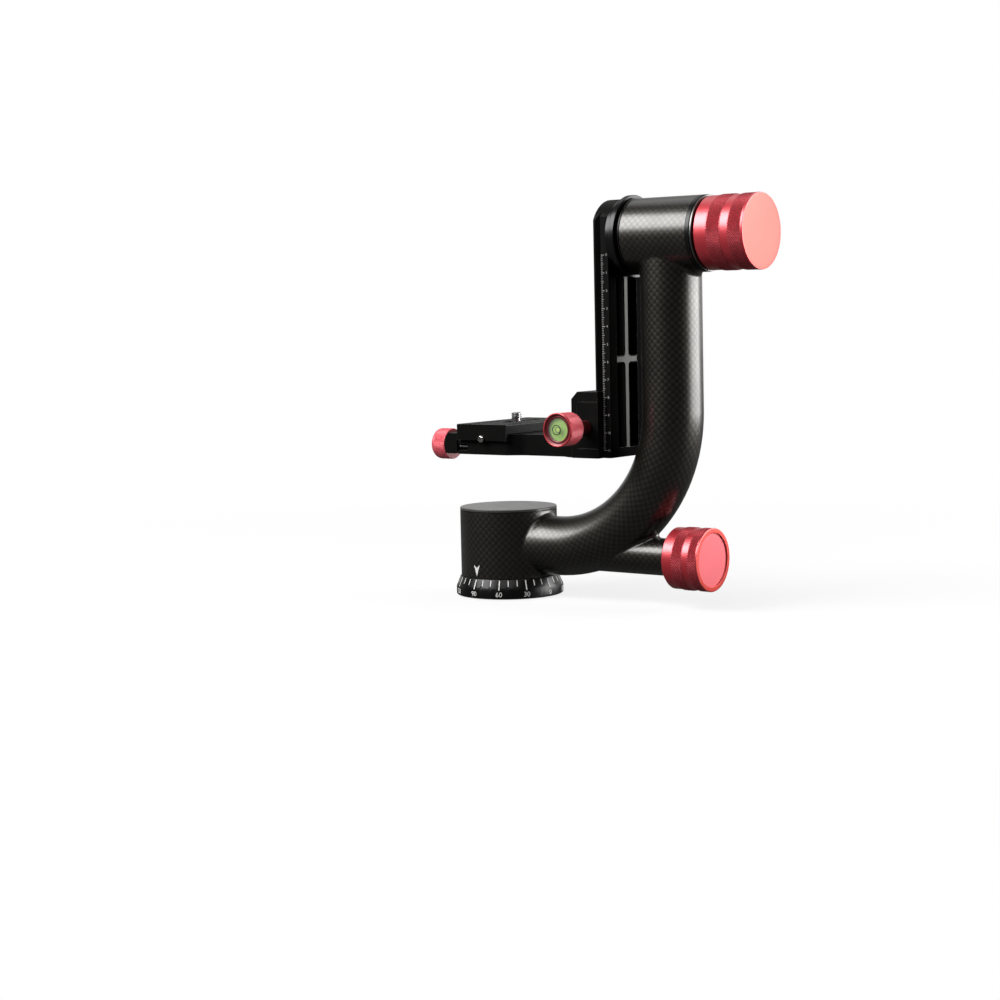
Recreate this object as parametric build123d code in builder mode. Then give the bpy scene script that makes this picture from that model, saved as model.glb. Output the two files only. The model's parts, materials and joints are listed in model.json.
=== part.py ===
from build123d import *
import os

# Gimbal tripod head. Origin on the pan axis at the foot of the dial, +Z up,
# +X along the tilt axis towards the lock knobs, +Y the way the lens points.
# All sizes in millimetres.

# ---------------------------------------------------------------- clearances
running_gap = 0.3          # between flat faces that move past each other
sliding_fit = 0.05         # radial, on round parts that turn or slide in a bore
slide_gap = 0.2            # between a dovetail and what slides on it

# ------------------------------------------------------------------ base dial
dial_overhang = 3.1         # how far the dial's foot stands out past the barrel
dial_top_overhang = 0.4
dial_band_height = 4.9
dial_height = 11.3
dial_foot_chamfer = 0.6
insert_radius = 8.0
insert_depth = 12.0
socket_radius = 4.0
socket_depth = 10.5
spindle_recess_floor = 5.0
spindle_flange_radius = 20.0
spindle_flange_thickness = 4.0
base_screw_circle = 15.0
base_screw_radius = 2.0
base_screw_head_radius = 3.8
base_screw_count = 4
screw_socket_flats = 2.5
screw_socket_depth = 1.4
countersink_slope = 45       # degrees

# ------------------------------------------------------- bearings, both axes
shaft_radius = 10.0
bearing_outer_radius = 16.0
bearing_width = 7.0
race_thickness = 1.9
ball_radius = 2.0
ball_count = 10
core_waist_radius = 14.0

# ---------------------------------------------------------------- pan spindle
spindle_shoulder_radius = 12.0
spindle_shoulder_rise = 1.7
brake_sleeve_radius = 13.0
spindle_washer_thickness = 1.0
spindle_nut_height = 4.0
spindle_nut_flats = 27.0
spindle_end_stand = 0.6
spindle_headroom = 2.5

# ----------------------------------------------------------------- carbon arm
barrel_radius = 29.0
barrel_wall = 3.0
tube_radius = 17.4
tube_wall = 2.0
tube_foot_margin = 1.2      # of barrel wall below the tube
tube_head_margin = 2.9      # and above it
tube_bend_radius = 80.0
tube_upright_x = 117.4
tube_blend_share = 0.26     # of the step from the tube out to the barrel
boss_radius = 10.7
boss_wall = 2.4
boss_root_run = 15.0        # from the start of the bend to the root of the boss
boss_reach = 0.1            # past the line of the upright
boss_blend = 2.0
sleeve_step = 3.8           # out from the tube to the sleeve
sleeve_wall = 2.5
sleeve_rail_margin = 3.2    # past the tube, to the sleeve's end by the rail
sleeve_knob_margin = 4.9    # and to its end by the lock knob
tilt_height = 209.0

# -------------------------------------------------------------------- pan cap
cap_thickness = 1.9
cap_groove_height = 0.4
cap_groove_depth = 0.6
cap_spigot_radius = 20.0
cap_spigot_wall = 3.0
cap_spigot_depth = 4.0
edge_break = 0.4

# ------------------------------------------------------------- pan lock parts
shoe_radius = 5.0
shoe_setback = 2.2          # behind the inside of the barrel
lock_rod_radius = 3.0
lock_bush_depth = 14.0
lock_bush_lip_radius = 11.0
lock_bush_lip = 0.8
pan_knob_radius = 18.0
pan_knob_band_step = 0.5
knob_back_chamfer = 1.0
pan_knob_gap = 0.4
pan_knob_bands = (6.9, 6.9, 3.6, 5.6, 1.0)   # smooth, knurled, smooth, knurled, rim
pan_knob_disc_radius = 15.2
pan_knob_disc_recess = 0.8
pan_knob_disc_thickness = 1.2
pan_knob_disc_ledge = 2.0
pan_knob_back_wall = 9.0

# ------------------------------------------------------------ tilt axis parts
core_ring_stand = 0.5       # out past the sleeve
core_ring_width = 0.8
tilt_bearing_inset = 2.2
right_bearing_inset = 2.7
end_ring_width = 2.5
end_ring_bore_radius = 14.2
friction_ring_inset = 0.2    # in from the sleeve
friction_ring_thickness = 1.1
friction_ring_bore_radius = 9.0
hub_length = 4.0
hub_flange_stand = 2.0      # out past the sleeve
hub_flange_width = 3.1
hub_neck_inset = 1.6        # in from the sleeve
hub_neck_length = 1.3
shaft_collar_radius = 12.0
tilt_nut_width = 3.5
tilt_nut_radius = 13.0
shaft_thread_radius = 6.0
shaft_thread_reach = 17.0
hub_screw_circle = 14.0
hub_screw_radius = 2.0
hub_screw_head_radius = 3.8
hub_screw_count = 4
tilt_knob_inset = 0.3        # in from the sleeve
tilt_knob_band_step = 0.5
tilt_knob_gap = 0.5
tilt_knob_bands = (8.3, 8.8, 4.6, 8.4, 2.1)  # smooth, knurled, smooth, knurled, rim
tilt_knob_insert_radius = 9.0
tilt_knob_insert_length = 14.0
tilt_knob_cavity_radius = 15.5
tilt_knob_cavity_depth = 5.0

# ----------------------------------------------------------------- swing rail
rail_thickness = 9.0
rail_lip_half_width = 19.0
rail_lip_thickness = 1.0
rail_groove_depth = 3.1
rail_body_half_width = 18.0
rail_foot_z = 84.5
rail_pocket_half_width = 10.4
rail_pocket_floor = 4.0
rail_pocket_foot = 5.3
rail_pocket_headroom = 22.3
rail_pocket_corner = 2.2
rail_rib_half_width = 4.2
rail_rib_shoulder = 2.1
rail_rib_crown = 0.4
rail_cross_rib_rise = 50.2
rail_cross_rib_width = 4.2
rail_stop_screw_rise = 3.0
stop_screw_radius = 1.2
stop_screw_head_radius = 2.15
stop_screw_head_height = 1.2
stop_screw_socket_flats = 2.0
stop_screw_socket_depth = 0.8

# ------------------------------------------------- carriage: rail clamp block
block_depth = 13.9
block_half_width = 23.5
block_height = 37.8
block_chamfer = 4.2
jaw_foot = 5.8
jaw_height = 26.3
jaw_back_wall = 4.1
jaw_depth = 9.0
rail_screw_depth = 9.9
rail_screw_rise = 17.8
clamp_screw_radius = 2.5
guide_pin_radius = 1.5
guide_pin_spacing = 17.0
guide_pin_reach = 11.0
guide_pin_bore_depth = 7.2
spring_radius = 3.1
spring_wire = 0.35
spring_turns = 4
spring_end_room = 1.5       # wire radii left free at each end of a spring
spring_well_depth = 6.0
spring_well_radius = 3.7

# -------------------------------------------------- carriage: lens platform
platform_thickness = 12.4
clamp_half_length = 22.3
platform_waist_half_width = 17.3
platform_heel_half_width = 21.0
platform_flare_x = 16.0
platform_waist_x = 26.0
platform_heel_setback = 10.1
platform_heel_run = 6.0
platform_curve = 9.0
platform_screw_y = 7.0
platform_screw_radius = 2.0
platform_screw_head_radius = 3.5
platform_screw_head_height = 4.0
platform_screw_reach = 12.0
platform_screw_socket_flats = 3.0
platform_screw_socket_depth = 2.0
lens_jaw_width = 8.9
lens_jaw_gap = 1.2
lens_jaw_chamfer = 2.5
lens_jaw_lift = 0.3
lens_rod_inset = 2.8
lens_rod_reach_in_jaw = 6.3
lens_rod_reach_in_platform = 11.5
lens_notch_length = 6.9
lens_notch_height = 3.6
lens_notch_width = 4.8

# ------------------------------------------------------------ small red knobs
small_knob_radius = 9.4
small_knob_neck_radius = 4.0
level_knob_length = 14.7
level_knob_lip = 1.3
level_knob_lip_radius = 9.6
level_knob_back_chamfer = 1.9
level_knob_neck = 13.1
vial_radius = 7.7
vial_depth = 5.0
bubble_radius = 2.9
bubble_depth = 1.0
bubble_shift = 1.6
glass_thickness = 1.0
glass_recess = 0.4
lens_knob_length = 11.0
lens_knob_rounding = 2.6
lens_knob_neck = 11.1
small_knob_grip = 4.0
screw_reach_in_block = 10.0
screw_reach_in_platform = 15.0

# ------------------------------------------------------------------ lens plate
plate_half_width = 18.3
plate_lip_half_width = 19.0
plate_lip_thickness = 1.0
plate_groove_depth = 3.1
plate_thickness = 9.6
plate_floor_depth = 4.1
plate_flange_thickness = 2.5
plate_rear_y = 45.0
plate_slot_half_width = 3.4
plate_slot_start_y = -4.0
plate_slot_end_y = 34.0
plate_head_slot_half_width = 6.4
plate_head_slot_depth = 4.2
pad_width = 5.0
pad_offset = 12.2
pad_depth = 1.0
pad_stand = 0.3
pad_margin = 5.0
plate_screw_head_radius = 2.15
plate_screw_head_height = 1.6
plate_screw_radius = 1.0
plate_screw_length = 6.0
plate_screw_lift = 1.1
plate_screw_dome = 0.7
camera_screw_y = 10.0
camera_screw_radius = 3.175
camera_screw_head_radius = 5.9
camera_screw_head_height = 3.2
camera_screw_socket_flats = 4.0
camera_screw_socket_depth = 2.0
keeper_thickness = 0.6
camera_neck_radius = 2.6
camera_thread_lift = 0.5    # of the screw's thread over the plate
camera_screw_stand = 5.0

# --------------------------------------------------------- derived: pan stack
dial_radius = barrel_radius + dial_overhang
dial_top_radius = barrel_radius + dial_top_overhang
barrel_bottom = dial_height + running_gap
barrel_height = tube_foot_margin + 2 * tube_radius + tube_head_margin
barrel_top = barrel_bottom + barrel_height
cap_top = barrel_top + cap_thickness
tube_axis_height = barrel_bottom + tube_foot_margin + tube_radius
spindle_top = barrel_top - spindle_headroom
spindle_nut_z = spindle_top - spindle_end_stand - spindle_nut_height
spindle_washer_z = spindle_nut_z - spindle_washer_thickness
upper_bearing_z = spindle_washer_z - bearing_width
lower_bearing_z = dial_height + spindle_shoulder_rise
brake_sleeve_z = lower_bearing_z + bearing_width
brake_sleeve_length = upper_bearing_z - brake_sleeve_z
lock_axis_height = brake_sleeve_z + brake_sleeve_length / 2
ball_circle = (shaft_radius + bearing_outer_radius) / 2
tube_bend_start_x = tube_upright_x - tube_bend_radius
tube_blend = (barrel_radius - tube_radius) * tube_blend_share
boss_root_x = tube_bend_start_x + boss_root_run
boss_end_x = tube_upright_x + boss_reach
pan_knob_start_x = boss_end_x + lock_bush_lip + pan_knob_gap

# ---------------------------------------- derived: tilt axis, out from the sleeve
sleeve_radius = tube_radius + sleeve_step
sleeve_start_x = tube_upright_x - tube_radius - sleeve_rail_margin
sleeve_end_x = tube_upright_x + tube_radius + sleeve_knob_margin
core_ring_radius = sleeve_radius + core_ring_stand
friction_ring_radius = sleeve_radius - friction_ring_inset
hub_radius = sleeve_radius
hub_flange_radius = sleeve_radius + hub_flange_stand
hub_neck_radius = sleeve_radius - hub_neck_inset
tilt_knob_radius = sleeve_radius - tilt_knob_inset
core_left_x = sleeve_start_x - core_ring_width
left_bearing_x = sleeve_start_x + tilt_bearing_inset
right_bearing_x = sleeve_end_x - bearing_width - right_bearing_inset
end_ring_x = sleeve_end_x + end_ring_width
friction_ring_x = end_ring_x + running_gap
tilt_knob_x = friction_ring_x + friction_ring_thickness + tilt_knob_gap
hub_neck_x = core_left_x - running_gap
hub_face_x = hub_neck_x - hub_neck_length
hub_flange_x = hub_face_x - hub_flange_width

# ------------------------------------------------------ derived: rail and block
rail_front_x = hub_flange_x - hub_length
rail_back_x = rail_front_x - rail_thickness
rail_step_x = rail_back_x + rail_lip_thickness + rail_groove_depth
rail_pocket_bottom_z = rail_foot_z + rail_pocket_foot
rail_pocket_top_z = tilt_height - rail_pocket_headroom
rail_cross_rib_z = rail_pocket_bottom_z + rail_cross_rib_rise
rail_stop_screw_z = rail_foot_z + rail_stop_screw_rise
block_front_x = rail_step_x - slide_gap
block_floor_x = rail_back_x - running_gap
block_back_x = block_floor_x - block_depth
block_top_z = rail_foot_z + block_height
jaw_bottom_z = rail_foot_z + jaw_foot
jaw_back_x = block_back_x + jaw_back_wall
rail_screw_x = block_back_x + rail_screw_depth
rail_screw_z = rail_foot_z + rail_screw_rise

# ------------------------------------------------ derived: platform and plate
platform_top_z = rail_foot_z + platform_thickness
platform_heel_x = block_back_x - platform_heel_setback
clamp_floor_z = platform_top_z - plate_floor_depth
plate_foot_z = clamp_floor_z + slide_gap
plate_top_z = plate_foot_z + plate_thickness
plate_step_z = plate_foot_z + plate_lip_thickness + plate_groove_depth
plate_front_y = -clamp_half_length - slide_gap - plate_flange_thickness
clamp_wall_x = plate_lip_half_width + slide_gap
clamp_wall_z = plate_foot_z + plate_lip_thickness + slide_gap / 2
platform_left_x = -clamp_wall_x - running_gap
lens_jaw_right_x = platform_left_x - lens_jaw_gap
lens_jaw_left_x = lens_jaw_right_x - lens_jaw_width
lens_screw_z = (rail_foot_z + clamp_floor_z) / 2
lens_rod_y = clamp_half_length - lens_rod_inset
lens_rod_left_x = lens_jaw_right_x - lens_rod_reach_in_jaw
lens_rod_right_x = platform_left_x + lens_rod_reach_in_platform
level_knob_back_y = -block_half_width - running_gap - level_knob_neck
level_knob_front_y = level_knob_back_y - level_knob_length
lens_knob_right_x = lens_jaw_left_x - running_gap - lens_knob_neck
lens_knob_left_x = lens_knob_right_x - lens_knob_length


def save(builder, name):
    """Label a finished piece and write it under its own name."""
    builder.part.label = name
    export_step(builder.part, f"parts/{name}.step")


def turn_about_z(points, mode=Mode.ADD):
    """Turn a closed profile of (radius, z) points about the pan axis."""
    with BuildSketch(Plane.XZ) as profile:
        with BuildLine():
            Polyline(*points, close=True)
        make_face()
    revolve(profile.sketch, axis=Axis.Z, mode=mode)


def turn_about_x(points, z, mode=Mode.ADD):
    """Turn a closed profile of (x, radius) points about a line along X at height z."""
    with BuildSketch(Plane.XZ) as profile:
        with BuildLine():
            Polyline(*[(x, z + radius) for x, radius in points], close=True)
        make_face()
    revolve(profile.sketch, axis=Axis((0, 0, z), (1, 0, 0)), mode=mode)


def turn_about_y(points, x, z, mode=Mode.ADD):
    """Turn a closed profile of (y, radius) points about a line along Y at x and z."""
    with BuildSketch(Plane.YZ.offset(x)) as profile:
        with BuildLine():
            Polyline(*[(y, z + radius) for y, radius in points], close=True)
        make_face()
    revolve(profile.sketch, axis=Axis((x, 0, z), (0, 1, 0)), mode=mode)


def rounds(plane, centres, radius, length, taper=0, mode=Mode.ADD):
    """Round pins, bores or screw heads that start on a plane."""
    with BuildSketch(plane) as circles:
        with Locations(*centres):
            Circle(radius)
    extrude(circles.sketch, amount=length, taper=taper, mode=mode)


def sockets(plane, centres, flats, depth):
    """Hexagon key sockets cut into screw heads from a plane."""
    with BuildSketch(plane) as hexagons:
        with Locations(*centres):
            RegularPolygon(radius=flats / 2, side_count=6, major_radius=False)
    extrude(hexagons.sketch, amount=depth, mode=Mode.SUBTRACT)


def prism(plane, points, length, mode=Mode.ADD):
    """Extrude a closed outline from a plane."""
    with BuildSketch(plane) as outline:
        with BuildLine():
            Polyline(*points, close=True)
        make_face()
    extrude(outline.sketch, amount=length, mode=mode)


def facing_x(x):
    """Plane of (y, z) points at this x; lengths run towards +X."""
    return Plane.YZ.offset(x)


def facing_y(y):
    """Plane of (x, z) points at this y; lengths run towards -Y."""
    return Plane.XZ.offset(-y)


def facing_z(z):
    """Plane of (x, y) points at this z; lengths run towards +Z."""
    return Plane.XY.offset(z)


def ring(inner, outer, start, width):
    """Rectangle of (radius, place) points for a ring turned about Z."""
    return [(inner, start), (outer, start), (outer, start + width), (inner, start + width)]


def hoop(start, width, inner, outer):
    """Rectangle of (place, radius) points for a ring turned about X or Y."""
    return [(start, inner), (start + width, inner), (start + width, outer), (start, outer)]


def polar(circle, count, z=0.0, turn=0.0):
    """Points spaced evenly on a circle about (0, z)."""
    spots = PolarLocations(circle, count, start_angle=turn).locations
    return [(spot.position.X, spot.position.Y + z) for spot in spots]


os.makedirs("parts", exist_ok=True)

# ======================================================================= base
base_screw_spots = polar(base_screw_circle, base_screw_count, turn=45)
countersink = base_screw_head_radius - base_screw_radius
flange_top = spindle_recess_floor + spindle_flange_thickness

with BuildPart() as base_dial:
    turn_about_z([
        (insert_radius, 0),
        (dial_radius - dial_foot_chamfer, 0),
        (dial_radius, dial_foot_chamfer),
        (dial_radius, dial_band_height),
        (dial_top_radius, dial_height),
        (spindle_flange_radius, dial_height),
        (spindle_flange_radius, spindle_recess_floor),
        (insert_radius, spindle_recess_floor),
    ])
    rounds(facing_z(0), base_screw_spots, base_screw_radius, spindle_recess_floor, mode=Mode.SUBTRACT)
    rounds(facing_z(0), base_screw_spots, base_screw_head_radius, countersink, countersink_slope,
           Mode.SUBTRACT)
save(base_dial, "base_dial")

with BuildPart() as pan_spindle:
    turn_about_z([
        (0, insert_depth),
        (insert_radius, insert_depth),
        (insert_radius, spindle_recess_floor),
        (spindle_flange_radius, spindle_recess_floor),
        (spindle_flange_radius, flange_top),
        (spindle_shoulder_radius, flange_top),
        (spindle_shoulder_radius, lower_bearing_z),
        (shaft_radius, lower_bearing_z),
        (shaft_radius, spindle_top),
        (0, spindle_top),
    ])
    rounds(facing_z(spindle_recess_floor), base_screw_spots, base_screw_radius,
           spindle_flange_thickness, mode=Mode.SUBTRACT)
save(pan_spindle, "pan_spindle")

with BuildPart() as tripod_insert:
    turn_about_z([
        (socket_radius, 0),
        (insert_radius, 0),
        (insert_radius, insert_depth),
        (0, insert_depth),
        (0, socket_depth),
        (socket_radius, socket_depth),
    ])
save(tripod_insert, "tripod_insert")

with BuildPart() as base_screws:
    rounds(facing_z(0), base_screw_spots, base_screw_radius, flange_top)
    rounds(facing_z(0), base_screw_spots, base_screw_head_radius, countersink, countersink_slope)
    sockets(facing_z(0), base_screw_spots, screw_socket_flats, screw_socket_depth)
save(base_screws, "base_screws")

with BuildPart() as brake_sleeve:
    turn_about_z(ring(shaft_radius, brake_sleeve_radius, brake_sleeve_z, brake_sleeve_length))
save(brake_sleeve, "brake_sleeve")

with BuildPart() as spindle_washer:
    turn_about_z(ring(shaft_radius, shaft_radius + race_thickness, spindle_washer_z,
                      spindle_washer_thickness))
save(spindle_washer, "spindle_washer")

with BuildPart() as spindle_nut:
    with BuildSketch(facing_z(spindle_nut_z)):
        RegularPolygon(radius=spindle_nut_flats / 2, side_count=6, major_radius=False)
        Circle(shaft_radius, mode=Mode.SUBTRACT)
    extrude(amount=spindle_nut_height)
save(spindle_nut, "spindle_nut")


def upright_bearings(part_of_bearing):
    """Inner races, outer races or balls of the two pan bearings."""
    for start in (lower_bearing_z, upper_bearing_z):
        middle = start + bearing_width / 2
        if part_of_bearing == "balls":
            with Locations((0, 0, middle)):
                with PolarLocations(ball_circle, ball_count):
                    Sphere(ball_radius)
            continue
        inner = shaft_radius
        if part_of_bearing == "outer":
            inner = bearing_outer_radius - race_thickness
        turn_about_z(ring(inner, inner + race_thickness, start, bearing_width))
        with Locations((0, 0, middle)):
            Torus(ball_circle, ball_radius + sliding_fit, mode=Mode.SUBTRACT)


def level_bearings(part_of_bearing):
    """Inner races, outer races or balls of the two tilt bearings."""
    for start in (left_bearing_x, right_bearing_x):
        middle = start + bearing_width / 2
        if part_of_bearing == "balls":
            with Locations(Location((middle, 0, tilt_height), (0, 90, 0))):
                with PolarLocations(ball_circle, ball_count):
                    Sphere(ball_radius)
            continue
        inner = shaft_radius
        if part_of_bearing == "outer":
            inner = bearing_outer_radius - race_thickness
        turn_about_x(hoop(start, bearing_width, inner, inner + race_thickness), tilt_height)
        with Locations(Location((middle, 0, tilt_height), (0, 90, 0))):
            Torus(ball_circle, ball_radius + sliding_fit, mode=Mode.SUBTRACT)


with BuildPart() as pan_inner_races:
    upright_bearings("inner")
save(pan_inner_races, "pan_inner_races")

with BuildPart() as pan_outer_races:
    upright_bearings("outer")
save(pan_outer_races, "pan_outer_races")

with BuildPart() as pan_bearing_balls:
    upright_bearings("balls")
save(pan_bearing_balls, "pan_bearing_balls")

# ======================================================================== arm
with BuildPart() as carbon_arm:
    with BuildLine(Plane.XZ) as arm_line:
        run_out = Line((0, tube_axis_height), (tube_bend_start_x, tube_axis_height))
        bend = JernArc(start=run_out @ 1, tangent=(1, 0), radius=tube_bend_radius, arc_size=90)
        Line(bend @ 1, (tube_upright_x, tilt_height))
    with BuildSketch(Plane((0, 0, tube_axis_height), x_dir=(0, 1, 0), z_dir=(1, 0, 0))):
        Circle(tube_radius)
    sweep(path=arm_line.wires()[0])
    rounds(facing_z(barrel_bottom), [(0, 0)], barrel_radius, barrel_height)
    rounds(facing_x(sleeve_start_x), [(0, tilt_height)], sleeve_radius, sleeve_end_x - sleeve_start_x)
    junctions = carbon_arm.edges().filter_by(GeomType.BSPLINE)
    fillet(junctions, tube_blend)
    rounds(facing_x(boss_root_x), [(0, lock_axis_height)], boss_radius, boss_end_x - boss_root_x)
    boss_junction = carbon_arm.edges(Select.LAST).filter_by(GeomType.BSPLINE)
    fillet(boss_junction, boss_blend)
    rounds(facing_z(barrel_bottom), [(0, 0)], barrel_radius - barrel_wall, barrel_height,
           mode=Mode.SUBTRACT)
    rounds(facing_x(sleeve_start_x), [(0, tilt_height)], sleeve_radius - sleeve_wall,
           sleeve_end_x - sleeve_start_x, mode=Mode.SUBTRACT)
    rounds(facing_x(boss_root_x), [(0, lock_axis_height)], boss_radius - boss_wall,
           boss_end_x - boss_root_x, mode=Mode.SUBTRACT)
    with BuildSketch(Plane((0, 0, tube_axis_height), x_dir=(0, 1, 0), z_dir=(1, 0, 0))) as bore:
        Circle(tube_radius - tube_wall)
    sweep(bore.sketch, path=arm_line.wires()[0], mode=Mode.SUBTRACT)
save(carbon_arm, "carbon_arm")

core_radius = barrel_radius - barrel_wall
shoe_bore_radius = shoe_radius + sliding_fit

with BuildPart() as pan_core:
    turn_about_z([
        (bearing_outer_radius, barrel_bottom),
        (core_radius, barrel_bottom),
        (core_radius, barrel_top),
        (cap_spigot_radius, barrel_top),
        (cap_spigot_radius, spindle_washer_z),
        (bearing_outer_radius, spindle_washer_z),
        (bearing_outer_radius, upper_bearing_z),
        (core_waist_radius, upper_bearing_z),
        (core_waist_radius, brake_sleeve_z),
        (bearing_outer_radius, brake_sleeve_z),
    ])
    rounds(facing_x(0), [(0, lock_axis_height)], shoe_bore_radius, barrel_radius, mode=Mode.SUBTRACT)
save(pan_core, "pan_core")

with BuildPart() as pan_cap:
    groove_radius = barrel_radius - cap_groove_depth
    groove_top = barrel_top + cap_groove_height
    spigot_inner = cap_spigot_radius - cap_spigot_wall
    turn_about_z([
        (0, barrel_top),
        (spigot_inner, barrel_top),
        (spigot_inner, barrel_top - cap_spigot_depth),
        (cap_spigot_radius, barrel_top - cap_spigot_depth),
        (cap_spigot_radius, barrel_top),
        (groove_radius, barrel_top),
        (groove_radius, groove_top),
        (barrel_radius, groove_top),
        (barrel_radius, cap_top - edge_break),
        (barrel_radius - edge_break, cap_top),
        (0, cap_top),
    ])
save(pan_cap, "pan_cap")

bush_inner = lock_rod_radius + sliding_fit
bush_start_x = boss_end_x - lock_bush_depth
boss_bore_radius = boss_radius - boss_wall

with BuildPart() as lock_bush:
    turn_about_x([
        (bush_start_x, bush_inner),
        (boss_end_x + lock_bush_lip, bush_inner),
        (boss_end_x + lock_bush_lip, lock_bush_lip_radius - edge_break),
        (boss_end_x + lock_bush_lip - edge_break, lock_bush_lip_radius),
        (boss_end_x, lock_bush_lip_radius),
        (boss_end_x, boss_bore_radius),
        (bush_start_x, boss_bore_radius),
    ], lock_axis_height)
save(lock_bush, "lock_bush")

core_bore_radius = bearing_outer_radius
sleeve_bore_radius = sleeve_radius - sleeve_wall
left_bearing_end = left_bearing_x + bearing_width

with BuildPart() as tilt_core:
    turn_about_x([
        (core_left_x, core_bore_radius),
        (core_left_x, core_ring_radius - edge_break / 2),
        (core_left_x + edge_break / 2, core_ring_radius),
        (sleeve_start_x, core_ring_radius),
        (sleeve_start_x, sleeve_bore_radius),
        (sleeve_end_x, sleeve_bore_radius),
        (sleeve_end_x, core_bore_radius),
        (right_bearing_x, core_bore_radius),
        (right_bearing_x, core_waist_radius),
        (left_bearing_end, core_waist_radius),
        (left_bearing_end, core_bore_radius),
    ], tilt_height)
save(tilt_core, "tilt_core")

right_bearing_end = right_bearing_x + bearing_width

with BuildPart() as tilt_end_ring:
    turn_about_x([
        (right_bearing_end, end_ring_bore_radius),
        (end_ring_x, end_ring_bore_radius),
        (end_ring_x, sleeve_radius - edge_break),
        (end_ring_x - edge_break, sleeve_radius),
        (sleeve_end_x, sleeve_radius),
        (sleeve_end_x, core_bore_radius),
        (right_bearing_end, core_bore_radius),
    ], tilt_height)
save(tilt_end_ring, "tilt_end_ring")

with BuildPart() as tilt_outer_races:
    level_bearings("outer")
save(tilt_outer_races, "tilt_outer_races")

with BuildPart() as tilt_bearing_balls:
    level_bearings("balls")
save(tilt_bearing_balls, "tilt_bearing_balls")

# =================================================================== pan lock
shoe_front_x = brake_sleeve_radius + running_gap
shoe_back_x = core_radius - shoe_setback

with BuildPart() as brake_shoe:
    turn_about_x([
        (shoe_front_x, 0),
        (shoe_front_x, shoe_radius - edge_break),
        (shoe_front_x + edge_break, shoe_radius),
        (shoe_back_x, shoe_radius),
        (shoe_back_x, 0),
    ], lock_axis_height)
save(brake_shoe, "brake_shoe")


def band_edges(start, bands):
    """Places where the bands of a lock knob begin and end."""
    places = [start]
    for width in bands:
        places.append(places[-1] + width)
    return places


pan_bands = band_edges(pan_knob_start_x, pan_knob_bands)
pan_face_x = pan_bands[5]
pan_rod_end_x = pan_knob_start_x + pan_knob_back_wall
pan_disc_x = pan_face_x - pan_knob_disc_recess - pan_knob_disc_thickness
pan_waist_radius = pan_knob_radius - pan_knob_band_step

with BuildPart() as pan_lock_rod:
    turn_about_x([
        (shoe_back_x, 0),
        (shoe_back_x, lock_rod_radius - edge_break),
        (shoe_back_x + edge_break, lock_rod_radius),
        (pan_rod_end_x, lock_rod_radius),
        (pan_rod_end_x, 0),
    ], lock_axis_height)
save(pan_lock_rod, "pan_lock_rod")

with BuildPart() as pan_lock_knob:
    turn_about_x([
        (pan_bands[0], lock_rod_radius),
        (pan_bands[0], pan_waist_radius - knob_back_chamfer),
        (pan_bands[0] + knob_back_chamfer, pan_waist_radius),
        (pan_bands[1], pan_waist_radius),
        (pan_bands[1], pan_knob_radius),
        (pan_bands[2], pan_knob_radius),
        (pan_bands[2], pan_waist_radius),
        (pan_bands[3], pan_waist_radius),
        (pan_bands[3], pan_knob_radius),
        (pan_bands[4], pan_knob_radius),
        (pan_face_x - edge_break, pan_knob_radius),
        (pan_face_x, pan_knob_radius - edge_break),
        (pan_face_x, pan_knob_disc_radius),
        (pan_disc_x, pan_knob_disc_radius),
        (pan_disc_x, pan_knob_disc_radius - pan_knob_disc_ledge),
        (pan_rod_end_x, pan_knob_disc_radius - pan_knob_disc_ledge),
        (pan_rod_end_x, lock_rod_radius),
    ], lock_axis_height)
save(pan_lock_knob, "pan_lock_knob")

with BuildPart() as pan_knob_disc:
    turn_about_x(hoop(pan_disc_x, pan_knob_disc_thickness, 0, pan_knob_disc_radius), lock_axis_height)
save(pan_knob_disc, "pan_knob_disc")

# ====================================================================== swing
rail_crown_radius = sleeve_radius
groove_floor_half_width = rail_lip_half_width - rail_groove_depth
hub_screw_spots = polar(hub_screw_circle, hub_screw_count, tilt_height, 45)
hub_countersink = hub_screw_head_radius - hub_screw_radius
pocket_floor_x = rail_front_x - rail_pocket_floor
pocket_height = rail_pocket_top_z - rail_pocket_bottom_z
rib_shoulder_x = rail_front_x - rail_rib_shoulder
rib_crown_x = rail_front_x - rail_rib_crown

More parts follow.
